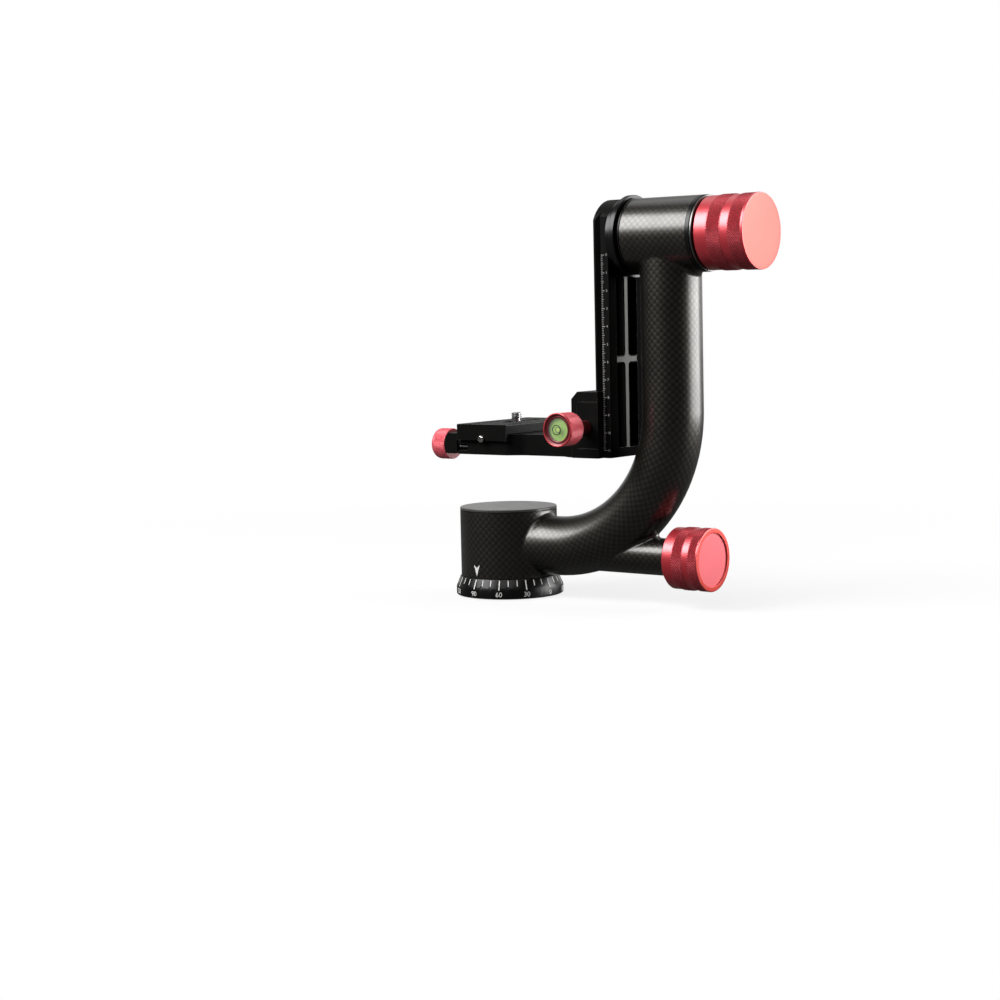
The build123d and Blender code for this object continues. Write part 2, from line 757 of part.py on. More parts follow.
with BuildPart() as swing_rail:
    rail_height = tilt_height + rail_crown_radius - rail_foot_z
    with BuildSketch(facing_z(rail_foot_z)):
        with BuildLine():
            Polyline(
                (rail_back_x, -rail_lip_half_width),
                (rail_back_x + rail_lip_thickness, -rail_lip_half_width),
                (rail_step_x, -groove_floor_half_width),
                (rail_step_x, -rail_body_half_width),
                (rail_front_x, -rail_body_half_width),
                (rail_front_x, rail_body_half_width),
                (rail_step_x, rail_body_half_width),
                (rail_step_x, groove_floor_half_width),
                (rail_back_x + rail_lip_thickness, rail_lip_half_width),
                (rail_back_x, rail_lip_half_width),
                close=True,
            )
        make_face()
    extrude(amount=rail_height)
    with BuildSketch(facing_x(rail_back_x)) as rail_outline:
        with Locations((0, tilt_height)):
            Circle(rail_crown_radius)
        with Locations((0, (rail_foot_z + tilt_height) / 2)):
            Rectangle(3 * rail_lip_half_width, tilt_height - rail_foot_z)
    extrude(amount=rail_thickness, mode=Mode.INTERSECT)
    with BuildSketch(facing_x(pocket_floor_x)):
        with Locations((0, rail_pocket_bottom_z + pocket_height / 2)):
            RectangleRounded(2 * rail_pocket_half_width, pocket_height, rail_pocket_corner)
    extrude(amount=rail_pocket_floor, mode=Mode.SUBTRACT)
    with BuildSketch(facing_z(rail_pocket_bottom_z)):
        with BuildLine():
            Polyline(
                (rib_shoulder_x, rail_rib_half_width),
                (pocket_floor_x, rail_rib_half_width),
                (pocket_floor_x, -rail_rib_half_width),
                (rib_shoulder_x, -rail_rib_half_width),
            )
            ThreePointArc((rib_shoulder_x, -rail_rib_half_width), (rib_crown_x, 0),
                          (rib_shoulder_x, rail_rib_half_width))
        make_face()
    extrude(amount=pocket_height)
    with BuildSketch(facing_x(pocket_floor_x)):
        with Locations((0, rail_cross_rib_z)):
            Rectangle(2 * rail_pocket_half_width, rail_cross_rib_width)
    extrude(amount=rib_crown_x - pocket_floor_x)
    rounds(facing_x(rail_back_x), hub_screw_spots, hub_screw_radius, rail_thickness, mode=Mode.SUBTRACT)
    rounds(facing_x(rail_back_x), hub_screw_spots, hub_screw_head_radius, hub_countersink,
           countersink_slope, Mode.SUBTRACT)
    rounds(facing_x(rail_back_x), [(0, rail_stop_screw_z)], stop_screw_radius, rail_pocket_floor,
           mode=Mode.SUBTRACT)
save(swing_rail, "swing_rail")

with BuildPart() as rail_stop_screw:
    turn_about_x([
        (rail_back_x - stop_screw_head_height, 0),
        (rail_back_x - stop_screw_head_height, stop_screw_head_radius),
        (rail_back_x, stop_screw_head_radius),
        (rail_back_x, stop_screw_radius),
        (rail_back_x + rail_pocket_floor, stop_screw_radius),
        (rail_back_x + rail_pocket_floor, 0),
    ], rail_stop_screw_z)
    sockets(facing_x(rail_back_x - stop_screw_head_height), [(0, rail_stop_screw_z)],
            stop_screw_socket_flats, stop_screw_socket_depth)
save(rail_stop_screw, "rail_stop_screw")

with BuildPart() as tilt_hub:
    turn_about_x([
        (rail_front_x, 0),
        (rail_front_x, hub_radius),
        (hub_flange_x, hub_radius),
        (hub_flange_x, hub_flange_radius - edge_break),
        (hub_flange_x + edge_break, hub_flange_radius),
        (hub_face_x - edge_break, hub_flange_radius),
        (hub_face_x, hub_flange_radius - edge_break),
        (hub_face_x, hub_neck_radius),
        (hub_neck_x, hub_neck_radius),
        (hub_neck_x, shaft_radius),
        (hub_flange_x, shaft_radius),
        (hub_flange_x, 0),
    ], tilt_height)
    rounds(facing_x(rail_front_x), hub_screw_spots, hub_screw_radius, hub_length, mode=Mode.SUBTRACT)
save(tilt_hub, "tilt_hub")

with BuildPart() as hub_screws:
    rounds(facing_x(rail_back_x), hub_screw_spots, hub_screw_radius, rail_thickness + hub_length)
    rounds(facing_x(rail_back_x), hub_screw_spots, hub_screw_head_radius, hub_countersink, countersink_slope)
    sockets(facing_x(rail_back_x), hub_screw_spots, screw_socket_flats, screw_socket_depth)
save(hub_screws, "hub_screws")

tilt_nut_x = right_bearing_end
thread_end_x = tilt_knob_x + shaft_thread_reach

with BuildPart() as tilt_shaft:
    turn_about_x([
        (hub_flange_x, 0),
        (hub_flange_x, shaft_radius),
        (hub_neck_x, shaft_radius),
        (hub_neck_x, shaft_collar_radius),
        (left_bearing_x, shaft_collar_radius),
        (left_bearing_x, shaft_radius),
        (tilt_nut_x + tilt_nut_width, shaft_radius),
        (tilt_nut_x + tilt_nut_width, shaft_thread_radius),
        (thread_end_x - edge_break, shaft_thread_radius),
        (thread_end_x, shaft_thread_radius - edge_break),
        (thread_end_x, 0),
    ], tilt_height)
save(tilt_shaft, "tilt_shaft")

with BuildPart() as tilt_inner_races:
    level_bearings("inner")
save(tilt_inner_races, "tilt_inner_races")

with BuildPart() as tilt_spacer:
    turn_about_x(hoop(left_bearing_end, right_bearing_x - left_bearing_end, shaft_radius,
                      shaft_radius + race_thickness), tilt_height)
save(tilt_spacer, "tilt_spacer")

with BuildPart() as tilt_nut:
    turn_about_x(hoop(tilt_nut_x, tilt_nut_width, shaft_radius, tilt_nut_radius), tilt_height)
save(tilt_nut, "tilt_nut")

# ================================================================== tilt lock
tilt_bands = band_edges(tilt_knob_x, tilt_knob_bands)
tilt_face_x = tilt_bands[5]
tilt_waist_radius = tilt_knob_radius - tilt_knob_band_step
tilt_insert_x = tilt_knob_x + tilt_knob_cavity_depth
tilt_insert_end = tilt_insert_x + tilt_knob_insert_length

with BuildPart() as friction_ring:
    turn_about_x(hoop(friction_ring_x, friction_ring_thickness, friction_ring_bore_radius,
                      friction_ring_radius), tilt_height)
save(friction_ring, "friction_ring")

with BuildPart() as tilt_lock_knob:
    turn_about_x([
        (tilt_bands[0], tilt_knob_cavity_radius),
        (tilt_bands[0], tilt_waist_radius - knob_back_chamfer),
        (tilt_bands[0] + knob_back_chamfer, tilt_waist_radius),
        (tilt_bands[1], tilt_waist_radius),
        (tilt_bands[1], tilt_knob_radius),
        (tilt_bands[2], tilt_knob_radius),
        (tilt_bands[2], tilt_waist_radius),
        (tilt_bands[3], tilt_waist_radius),
        (tilt_bands[3], tilt_knob_radius),
        (tilt_bands[4], tilt_knob_radius),
        (tilt_face_x - edge_break, tilt_knob_radius),
        (tilt_face_x, tilt_knob_radius - edge_break),
        (tilt_face_x, 0),
        (tilt_insert_end, 0),
        (tilt_insert_end, tilt_knob_insert_radius),
        (tilt_insert_x, tilt_knob_insert_radius),
        (tilt_insert_x, tilt_knob_cavity_radius),
    ], tilt_height)
save(tilt_lock_knob, "tilt_lock_knob")

with BuildPart() as tilt_knob_insert:
    turn_about_x(hoop(tilt_insert_x, tilt_knob_insert_length, shaft_thread_radius + sliding_fit,
                      tilt_knob_insert_radius), tilt_height)
save(tilt_knob_insert, "tilt_knob_insert")

# =================================================== carriage: rail clamp block
jaw_inner_y = -block_half_width + jaw_depth
channel_half_width = rail_lip_half_width + slide_gap
channel_lip_x = rail_back_x + rail_lip_thickness + slide_gap / 2
channel_mouth_half_width = channel_half_width - (block_front_x - channel_lip_x)
pin_spots = [(rail_screw_x, rail_screw_z - guide_pin_spacing / 2),
             (rail_screw_x, rail_screw_z + guide_pin_spacing / 2)]
rail_screw_spot = [(rail_screw_x, rail_screw_z)]
platform_screw_z = rail_foot_z + platform_thickness / 2
platform_screw_spots = [(-platform_screw_y, platform_screw_z), (platform_screw_y, platform_screw_z)]
platform_head_x = block_floor_x - running_gap - platform_screw_head_height
clamp_screw_bore = clamp_screw_radius + sliding_fit
stop_slot_half_width = stop_screw_head_radius + running_gap
stop_slot_top = rail_stop_screw_z + stop_screw_head_radius + running_gap

with BuildPart() as carriage_block:
    prism(facing_y(block_half_width), [
        (block_back_x, rail_foot_z),
        (block_front_x, rail_foot_z),
        (block_front_x, block_top_z),
        (block_back_x + block_chamfer, block_top_z),
        (block_back_x, block_top_z - block_chamfer),
    ], 2 * block_half_width)
    prism(facing_z(rail_foot_z), [
        (block_floor_x, -channel_half_width),
        (channel_lip_x, -channel_half_width),
        (block_front_x, -channel_mouth_half_width),
        (block_front_x, channel_mouth_half_width),
        (channel_lip_x, channel_half_width),
        (block_floor_x, channel_half_width),
    ], block_height, Mode.SUBTRACT)
    prism(facing_z(jaw_bottom_z - running_gap), [
        (jaw_back_x - running_gap, -block_half_width),
        (block_front_x, -block_half_width),
        (block_front_x, jaw_inner_y + running_gap),
        (jaw_back_x - running_gap, jaw_inner_y + running_gap),
    ], jaw_height + 2 * running_gap, Mode.SUBTRACT)
    jaw_seat = facing_y(jaw_inner_y + running_gap)
    rounds(jaw_seat, rail_screw_spot, clamp_screw_bore, -screw_reach_in_block - spring_well_depth,
           mode=Mode.SUBTRACT)
    rounds(jaw_seat, rail_screw_spot, spring_well_radius, -spring_well_depth, mode=Mode.SUBTRACT)
    rounds(facing_y(-guide_pin_reach), pin_spots, guide_pin_radius, jaw_depth, mode=Mode.SUBTRACT)
    rounds(facing_x(block_back_x), platform_screw_spots, platform_screw_radius,
           block_floor_x - block_back_x, mode=Mode.SUBTRACT)
    rounds(facing_x(platform_head_x), platform_screw_spots, platform_screw_head_radius,
           block_floor_x - platform_head_x, mode=Mode.SUBTRACT)
    prism(facing_z(rail_foot_z), [
        (block_floor_x - stop_screw_head_height, -stop_slot_half_width),
        (block_floor_x, -stop_slot_half_width),
        (block_floor_x, stop_slot_half_width),
        (block_floor_x - stop_screw_head_height, stop_slot_half_width),
    ], stop_slot_top - rail_foot_z, Mode.SUBTRACT)
save(carriage_block, "carriage_block")

with BuildPart() as rail_jaw:
    prism(facing_z(jaw_bottom_z), [
        (jaw_back_x, -block_half_width),
        (block_front_x, -block_half_width),
        (block_front_x, -channel_mouth_half_width),
        (channel_lip_x, -channel_half_width),
        (block_floor_x, -channel_half_width),
        (block_floor_x, jaw_inner_y),
        (jaw_back_x, jaw_inner_y),
    ], jaw_height)
    rounds(facing_y(jaw_inner_y), rail_screw_spot, clamp_screw_bore, jaw_depth, mode=Mode.SUBTRACT)
    rounds(facing_y(jaw_inner_y), pin_spots, guide_pin_radius + sliding_fit, guide_pin_bore_depth,
           mode=Mode.SUBTRACT)
save(rail_jaw, "rail_jaw")

with BuildPart() as rail_guide_pins:
    rounds(facing_y(-guide_pin_reach), pin_spots, guide_pin_radius, jaw_depth)
save(rail_guide_pins, "rail_guide_pins")

# ====================================================== carriage: lens platform
platform_end_x = block_back_x - platform_screw_reach
notch_end_x = platform_left_x + lens_notch_length
notch_foot_z = lens_screw_z - lens_notch_height / 2
notch_inner_y = clamp_half_length - lens_notch_width
rod_spots = [(-lens_rod_y, lens_screw_z), (lens_rod_y, lens_screw_z)]
lens_screw_spot = [(0, lens_screw_z)]
clamp_rise = platform_top_z + slide_gap - clamp_wall_z

with BuildPart() as lens_platform:
    with BuildSketch(facing_z(rail_foot_z)) as platform_outline:
        with BuildLine():
            Polyline(
                (platform_left_x, -clamp_half_length),
                (platform_flare_x, -clamp_half_length),
                (platform_waist_x, -platform_waist_half_width),
                (platform_heel_x, -platform_waist_half_width),
                (platform_heel_x + platform_heel_run, -platform_heel_half_width),
                (block_back_x, -platform_heel_half_width),
                (block_back_x, platform_heel_half_width),
                (platform_heel_x + platform_heel_run, platform_heel_half_width),
                (platform_heel_x, platform_waist_half_width),
                (platform_waist_x, platform_waist_half_width),
                (platform_flare_x, clamp_half_length),
                (platform_left_x, clamp_half_length),
                close=True,
            )
        make_face()
        curved = platform_outline.vertices().sort_by(Axis.X)[2:-2]
        fillet(curved, platform_curve)
    extrude(amount=platform_thickness)
    prism(facing_y(block_half_width), [
        (lens_jaw_left_x, clamp_floor_z),
        (clamp_wall_x, clamp_floor_z),
        (clamp_wall_x, clamp_wall_z),
        (clamp_wall_x - clamp_rise, clamp_wall_z + clamp_rise),
        (lens_jaw_left_x, clamp_wall_z + clamp_rise),
    ], 2 * block_half_width, Mode.SUBTRACT)
    for side in (-1, 1):
        prism(facing_x(platform_left_x), [
            (side * notch_inner_y, notch_foot_z),
            (side * clamp_half_length, notch_foot_z),
            (side * clamp_half_length, notch_foot_z + lens_notch_height),
            (side * notch_inner_y, notch_foot_z + lens_notch_height),
        ], lens_notch_length, Mode.SUBTRACT)
    rounds(facing_x(notch_end_x), rod_spots, guide_pin_radius, lens_rod_right_x - notch_end_x,
           mode=Mode.SUBTRACT)
    rounds(facing_x(platform_left_x), lens_screw_spot, clamp_screw_bore,
           screw_reach_in_platform + running_gap, mode=Mode.SUBTRACT)
    rounds(facing_x(platform_left_x), lens_screw_spot, spring_well_radius, spring_well_depth,
           mode=Mode.SUBTRACT)
    rounds(facing_x(platform_end_x), platform_screw_spots, platform_screw_radius,
           platform_screw_reach, mode=Mode.SUBTRACT)
save(lens_platform, "lens_platform")

platform_head_end_x = platform_head_x + platform_screw_head_height

with BuildPart() as platform_screws:
    rounds(facing_x(platform_end_x), platform_screw_spots, platform_screw_radius,
           platform_head_x - platform_end_x)
    rounds(facing_x(platform_head_x), platform_screw_spots, platform_screw_head_radius,
           platform_screw_head_height)
    sockets(facing_x(platform_head_end_x - platform_screw_socket_depth), platform_screw_spots,
            platform_screw_socket_flats, platform_screw_socket_depth)
save(platform_screws, "platform_screws")

jaw_foot_z = rail_foot_z + lens_jaw_lift
jaw_hook_rise = platform_top_z - clamp_wall_z

with BuildPart() as lens_jaw:
    prism(facing_y(clamp_half_length), [
        (lens_jaw_left_x, jaw_foot_z),
        (lens_jaw_right_x, jaw_foot_z),
        (lens_jaw_right_x, clamp_floor_z + running_gap),
        (-clamp_wall_x, clamp_floor_z + running_gap),
        (-clamp_wall_x, clamp_wall_z),
        (jaw_hook_rise - clamp_wall_x, platform_top_z),
        (lens_jaw_left_x + lens_jaw_chamfer, platform_top_z),
        (lens_jaw_left_x, platform_top_z - lens_jaw_chamfer),
    ], 2 * clamp_half_length)
    rounds(facing_x(lens_jaw_right_x), rod_spots, guide_pin_radius + sliding_fit,
           -guide_pin_bore_depth, mode=Mode.SUBTRACT)
    rounds(facing_x(lens_jaw_left_x), lens_screw_spot, clamp_screw_bore,
           lens_jaw_right_x - lens_jaw_left_x, mode=Mode.SUBTRACT)
save(lens_jaw, "lens_jaw")

with BuildPart() as lens_guide_rods:
    rounds(facing_x(lens_rod_left_x), rod_spots, guide_pin_radius, lens_rod_right_x - lens_rod_left_x)
save(lens_guide_rods, "lens_guide_rods")


def coil_spring(start, direction, length):
    """Compression spring that winds away from start along direction."""
    wire_inset = spring_wire * spring_end_room
    base = Vector(*start) + Vector(*direction) * wire_inset
    height = length - 2 * wire_inset
    with BuildLine() as coil:
        Helix(pitch=height / spring_turns, height=height, radius=spring_radius,
              center=base, direction=direction)
    with BuildSketch(Plane(origin=coil.line @ 0, z_dir=coil.line % 0)) as wire:
        Circle(spring_wire)
    sweep(wire.sketch, path=coil.wires()[0])


well_floor_y = jaw_inner_y + running_gap + spring_well_depth
well_floor_x = platform_left_x + spring_well_depth

with BuildPart() as rail_clamp_spring:
    coil_spring((rail_screw_x, well_floor_y, rail_screw_z), (0, -1, 0), well_floor_y - jaw_inner_y)
save(rail_clamp_spring, "rail_clamp_spring")

with BuildPart() as lens_clamp_spring:
    coil_spring((well_floor_x, 0, lens_screw_z), (-1, 0, 0), well_floor_x - lens_jaw_right_x)
save(lens_clamp_spring, "lens_clamp_spring")

# ============================================================ small red knobs
level_grip_y = level_knob_back_y - small_knob_grip
level_neck_y = level_knob_back_y + level_knob_neck
level_lip_y = level_knob_front_y + level_knob_lip
vial_floor_y = level_knob_front_y + vial_depth
glass_back_y = level_knob_front_y + glass_recess + glass_thickness

with BuildPart() as level_knob:
    turn_about_y([
        (level_neck_y, clamp_screw_radius),
        (level_neck_y, small_knob_neck_radius),
        (level_knob_back_y, small_knob_neck_radius),
        (level_knob_back_y, small_knob_radius - level_knob_back_chamfer),
        (level_knob_back_y - level_knob_back_chamfer, small_knob_radius),
        (level_lip_y, small_knob_radius),
        (level_lip_y, level_knob_lip_radius),
        (level_knob_front_y + edge_break, level_knob_lip_radius),
        (level_knob_front_y, level_knob_lip_radius - edge_break),
        (level_knob_front_y, vial_radius),
        (vial_floor_y, vial_radius),
        (vial_floor_y, 0),
        (level_grip_y, 0),
        (level_grip_y, clamp_screw_radius),
    ], rail_screw_x, rail_screw_z)
save(level_knob, "level_knob")

with BuildPart() as rail_clamp_screw:
    rounds(facing_y(jaw_inner_y + running_gap + screw_reach_in_block), rail_screw_spot,
           clamp_screw_radius, jaw_inner_y + running_gap + screw_reach_in_block - level_grip_y)
save(rail_clamp_screw, "rail_clamp_screw")

with BuildPart() as level_glass:
    rounds(facing_y(glass_back_y), rail_screw_spot, vial_radius, glass_thickness)
save(level_glass, "level_glass")

bubble_sphere_radius = (bubble_radius**2 + bubble_depth**2) / (2 * bubble_depth)

with BuildPart() as level_vial:
    rounds(facing_y(vial_floor_y), rail_screw_spot, vial_radius, vial_floor_y - glass_back_y)
    with Locations((rail_screw_x - bubble_shift, glass_back_y - bubble_sphere_radius + bubble_depth,
                    rail_screw_z)):
        Sphere(bubble_sphere_radius, mode=Mode.SUBTRACT)
save(level_vial, "level_vial")

lens_neck_x = lens_knob_right_x + lens_knob_neck
lens_grip_x = lens_knob_right_x - small_knob_grip

with BuildPart() as lens_clamp_knob:
    turn_about_x([
        (lens_neck_x, clamp_screw_radius),
        (lens_neck_x, small_knob_neck_radius),
        (lens_knob_right_x, small_knob_neck_radius),
        (lens_knob_right_x, small_knob_radius - edge_break),
        (lens_knob_right_x - edge_break, small_knob_radius),
        (lens_knob_left_x, small_knob_radius),
        (lens_knob_left_x, 0),
        (lens_grip_x, 0),
        (lens_grip_x, clamp_screw_radius),
    ], lens_screw_z)
    end_rim = lens_clamp_knob.edges().filter_by(GeomType.CIRCLE).sort_by(Axis.X)[0]
    fillet(end_rim, lens_knob_rounding)
save(lens_clamp_knob, "lens_clamp_knob")

with BuildPart() as lens_clamp_screw:
    rounds(facing_x(lens_grip_x), lens_screw_spot, clamp_screw_radius,
           platform_left_x + screw_reach_in_platform - lens_grip_x)
save(lens_clamp_screw, "lens_clamp_screw")

# ================================================================= lens plate
plate_body_y = plate_front_y + plate_flange_thickness
plate_groove_half_width = plate_lip_half_width - plate_groove_depth
slot_length = plate_slot_end_y - plate_slot_start_y
slot_middle_y = (plate_slot_start_y + plate_slot_end_y) / 2
pad_length = plate_rear_y - plate_body_y - 2 * pad_margin
pad_middle_y = (plate_rear_y + plate_body_y) / 2
plate_screw_spot = [(0, plate_foot_z + plate_screw_lift)]

with BuildPart() as lens_plate:
    prism(facing_y(plate_rear_y), [
        (-plate_lip_half_width, plate_foot_z),
        (plate_lip_half_width, plate_foot_z),
        (plate_lip_half_width, plate_foot_z + plate_lip_thickness),
        (plate_groove_half_width, plate_step_z),
        (plate_half_width, plate_step_z),
        (plate_half_width, plate_top_z - edge_break),
        (plate_half_width - edge_break, plate_top_z),
        (edge_break - plate_half_width, plate_top_z),
        (-plate_half_width, plate_top_z - edge_break),
        (-plate_half_width, plate_step_z),
        (-plate_groove_half_width, plate_step_z),
        (-plate_lip_half_width, plate_foot_z + plate_lip_thickness),
    ], plate_rear_y - plate_body_y)
    prism(facing_y(plate_body_y), [
        (-plate_half_width, plate_foot_z),
        (plate_half_width, plate_foot_z),
        (plate_half_width, plate_top_z - edge_break),
        (plate_half_width - edge_break, plate_top_z),
        (edge_break - plate_half_width, plate_top_z),
        (-plate_half_width, plate_top_z - edge_break),
    ], plate_flange_thickness)
    with BuildSketch(facing_z(plate_foot_z)) as slot:
        with Locations((0, slot_middle_y)):
            SlotOverall(slot_length, 2 * plate_slot_half_width, rotation=90)
    extrude(slot.sketch, amount=plate_thickness, mode=Mode.SUBTRACT)
    with BuildSketch(facing_z(plate_foot_z)) as head_slot:
        with Locations((0, slot_middle_y)):
            SlotOverall(slot_length + 2 * (plate_head_slot_half_width - plate_slot_half_width),
                        2 * plate_head_slot_half_width, rotation=90)
    extrude(head_slot.sketch, amount=plate_head_slot_depth, mode=Mode.SUBTRACT)
    with BuildSketch(facing_z(plate_top_z - pad_depth)) as pad_seats:
        with Locations((-pad_offset, pad_middle_y), (pad_offset, pad_middle_y)):
            Rectangle(pad_width, pad_length)
    extrude(pad_seats.sketch, amount=pad_depth, mode=Mode.SUBTRACT)
    rounds(facing_y(plate_front_y), plate_screw_spot, plate_screw_radius, -plate_screw_length,
           mode=Mode.SUBTRACT)
    rounds(facing_y(plate_rear_y), plate_screw_spot, plate_screw_radius, plate_screw_length,
           mode=Mode.SUBTRACT)
save(lens_plate, "lens_plate")

with BuildPart() as plate_pads:
    with BuildSketch(facing_z(plate_top_z - pad_depth)):
        with Locations((-pad_offset, pad_middle_y), (pad_offset, pad_middle_y)):
            Rectangle(pad_width, pad_length)
    extrude(amount=pad_depth + pad_stand)
save(plate_pads, "plate_pads")

with BuildPart() as plate_stop_screws:
    for face_y, outward in ((plate_front_y, -1), (plate_rear_y, 1)):
        turn_about_y([
            (face_y - outward * plate_screw_length, 0),
            (face_y - outward * plate_screw_length, plate_screw_radius),
            (face_y, plate_screw_radius),
            (face_y, plate_screw_head_radius),
            (face_y + outward * (plate_screw_head_height - plate_screw_dome), plate_screw_head_radius),
            (face_y + outward * plate_screw_head_height, plate_screw_head_radius - plate_screw_dome),
            (face_y + outward * plate_screw_head_height, 0),
        ], 0, plate_foot_z + plate_screw_lift)
save(plate_stop_screws, "plate_stop_screws")

keeper_z = plate_foot_z + plate_head_slot_depth - slide_gap / 2 - keeper_thickness
camera_head_z = keeper_z - camera_screw_head_height

with BuildPart() as screw_keeper:
    with BuildSketch(facing_z(keeper_z)):
        with Locations((0, camera_screw_y)):
            Circle(camera_screw_head_radius)
            Circle(camera_neck_radius + sliding_fit, mode=Mode.SUBTRACT)
    extrude(amount=keeper_thickness)
save(screw_keeper, "screw_keeper")

with BuildPart() as camera_screw:
    camera_screw_spot = [(0, camera_screw_y)]
    camera_thread_z = plate_top_z + camera_thread_lift
    rounds(facing_z(camera_head_z), camera_screw_spot, camera_screw_head_radius, camera_screw_head_height)
    rounds(facing_z(camera_head_z), camera_screw_spot, camera_neck_radius, camera_thread_z - camera_head_z)
    rounds(facing_z(camera_thread_z), camera_screw_spot, camera_screw_radius,
           camera_screw_stand - camera_thread_lift)
    sockets(facing_z(camera_head_z), camera_screw_spot, camera_screw_socket_flats,
            camera_screw_socket_depth)
save(camera_screw, "camera_screw")
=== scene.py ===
import bpy
import bmesh
import json
import math
from mathutils import Matrix, Vector


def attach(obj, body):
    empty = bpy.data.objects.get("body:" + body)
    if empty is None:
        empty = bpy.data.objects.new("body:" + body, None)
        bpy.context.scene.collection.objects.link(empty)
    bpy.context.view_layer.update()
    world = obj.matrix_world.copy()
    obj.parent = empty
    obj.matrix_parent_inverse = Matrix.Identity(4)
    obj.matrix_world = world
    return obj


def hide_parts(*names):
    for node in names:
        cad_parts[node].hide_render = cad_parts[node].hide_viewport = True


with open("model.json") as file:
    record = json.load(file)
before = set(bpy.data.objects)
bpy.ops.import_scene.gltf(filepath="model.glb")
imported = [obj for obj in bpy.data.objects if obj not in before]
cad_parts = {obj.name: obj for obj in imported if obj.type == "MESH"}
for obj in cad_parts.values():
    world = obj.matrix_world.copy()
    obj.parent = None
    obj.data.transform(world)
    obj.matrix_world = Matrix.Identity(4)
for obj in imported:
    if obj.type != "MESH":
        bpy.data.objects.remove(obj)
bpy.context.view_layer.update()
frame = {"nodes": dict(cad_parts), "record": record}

# Sizes are in millimetres unless a comment says metres; MM turns them into metres.
MM = 0.001
WELD = 0.000002  # metres: points nearer than this are one
FACING = 0.95  # a face looks along a line if its normal has this much of it
PAN_LOCK_Z = 27.7
TILT_Z = 209.0
PAN_LOCK_AXIS = (0, 0, PAN_LOCK_Z)
TILT_AXIS = (0, 0, TILT_Z)
TUBE_Z = 30.2
TUBE_R = 17.4
BARREL_R = 29.0
SLEEVE_R = 21.2
BOSS_R = 10.7
BEND_R = 80.0
BEND_X = 37.4
UPRIGHT_X = 117.4
TOW = 2.0
TOWS_ROUND = {"barrel": 92, "sleeve": 66, "boss": 34, "tube": 54}
LEVEL_AXIS = (74.0, 0, 102.3)
LENS_AXIS = (0, 0, 88.65)

# ------------------------------------------------------------------ camera
CAMERA_SPOT = (0.730035, -0.963296, 0.171229)  # metres
CAMERA_HEADING = 0.652617765  # radians, as are the next two
CAMERA_DROP = 0.0951997538
CAMERA_ROLL = 0.0220594006
bpy.ops.object.camera_add(location=CAMERA_SPOT)
camera = bpy.context.object
camera.name = "studio_camera"
camera.data.lens = 72.875
camera.data.sensor_width = 36
camera.data.clip_start = 0.05
camera.data.clip_end = 50
camera.rotation_euler = (
    Matrix.Rotation(CAMERA_HEADING, 4, "Z")
    @ Matrix.Rotation(math.pi / 2 - CAMERA_DROP, 4, "X")
    @ Matrix.Rotation(-CAMERA_ROLL, 4, "Z")
).to_euler()
bpy.context.scene.camera = camera
bpy.context.scene.view_settings.view_transform = "Standard"


# ---------------------------------------------------------------- finishes
class Value:
    """A number worked out over a surface; arithmetic on it adds Math nodes."""

    def __init__(self, finish, socket):
        self.finish = finish
        self.socket = socket

    def math(self, operation, *others):
        values = dict(enumerate((self, *others)))
        return self.finish.add("ShaderNodeMath", {"operation": operation}, values)

    def clamped(self, low=0.0, high=1.0):
        return self.math("MAXIMUM", low).math("MINIMUM", high)

    def __add__(self, other):
        return self.math("ADD", other)

    def __radd__(self, other):
        return self.math("ADD", other)

    def __sub__(self, other):
        return self.math("SUBTRACT", other)

    def __rsub__(self, other):
        return self.finish.add("ShaderNodeMath", {"operation": "SUBTRACT"}, {0: other, 1: self})

    def __mul__(self, other):
        return self.math("MULTIPLY", other)


class Finish:
    """One material or world, with its shader and the steps that lead to it."""

    def __init__(self, name, owner=None):
        self.material = owner or bpy.data.materials.new(name)
        self.material.use_nodes = True
        self.tree = self.material.node_tree
        self.tree.nodes.clear()

    def feed(self, socket, value):
        if isinstance(value, Value):
            self.tree.links.new(value.socket, socket)
        else:
            socket.default_value = value

    def add(self, kind, settings=None, values=None, out=0):
        node = self.tree.nodes.new(kind)
        for name, value in (settings or {}).items():
            setattr(node, name, value)
        for name, value in (values or {}).items():
            self.feed(node.inputs[name], value)
        return Value(self, node.outputs[out])

    def mix(self, share, low, high):
        return self.add("ShaderNodeMix", {"data_type": "RGBA"}, {0: share, 6: low, 7: high}, 2)

    def place(self):
        return self.add("ShaderNodeTexCoord", out="Object")

    def grain(self, scale, detail=2.0, rough=0.5, stretch=(1, 1, 1), vector=None):
        spot = self.add("ShaderNodeMapping", {}, {
            "Vector": vector or self.place(), "Scale": stretch,
        })
        return self.add("ShaderNodeTexNoise", {}, {
            "Vector": spot, "Scale": scale, "Detail": detail, "Roughness": rough,
        }, "Fac")

    def bump(self, height, strength, distance):
        return self.add("ShaderNodeBump", {}, {
            "Height": height, "Strength": strength, "Distance": distance,
        }, "Normal")

    def shader(self, **values):
        node = self.tree.nodes.new("ShaderNodeBsdfPrincipled")
        for name, value in values.items():
            self.feed(node.inputs[name.replace("_", " ")], value)
        self.finish_with(node.outputs[0])

    def finish_with(self, socket):
        kind = "World" if isinstance(self.material, bpy.types.World) else "Material"
        output = self.tree.nodes.new(f"ShaderNodeOutput{kind}")
        self.tree.links.new(socket, output.inputs["Surface"])


def rgb(red, green, blue):
    return (red, green, blue, 1.0)


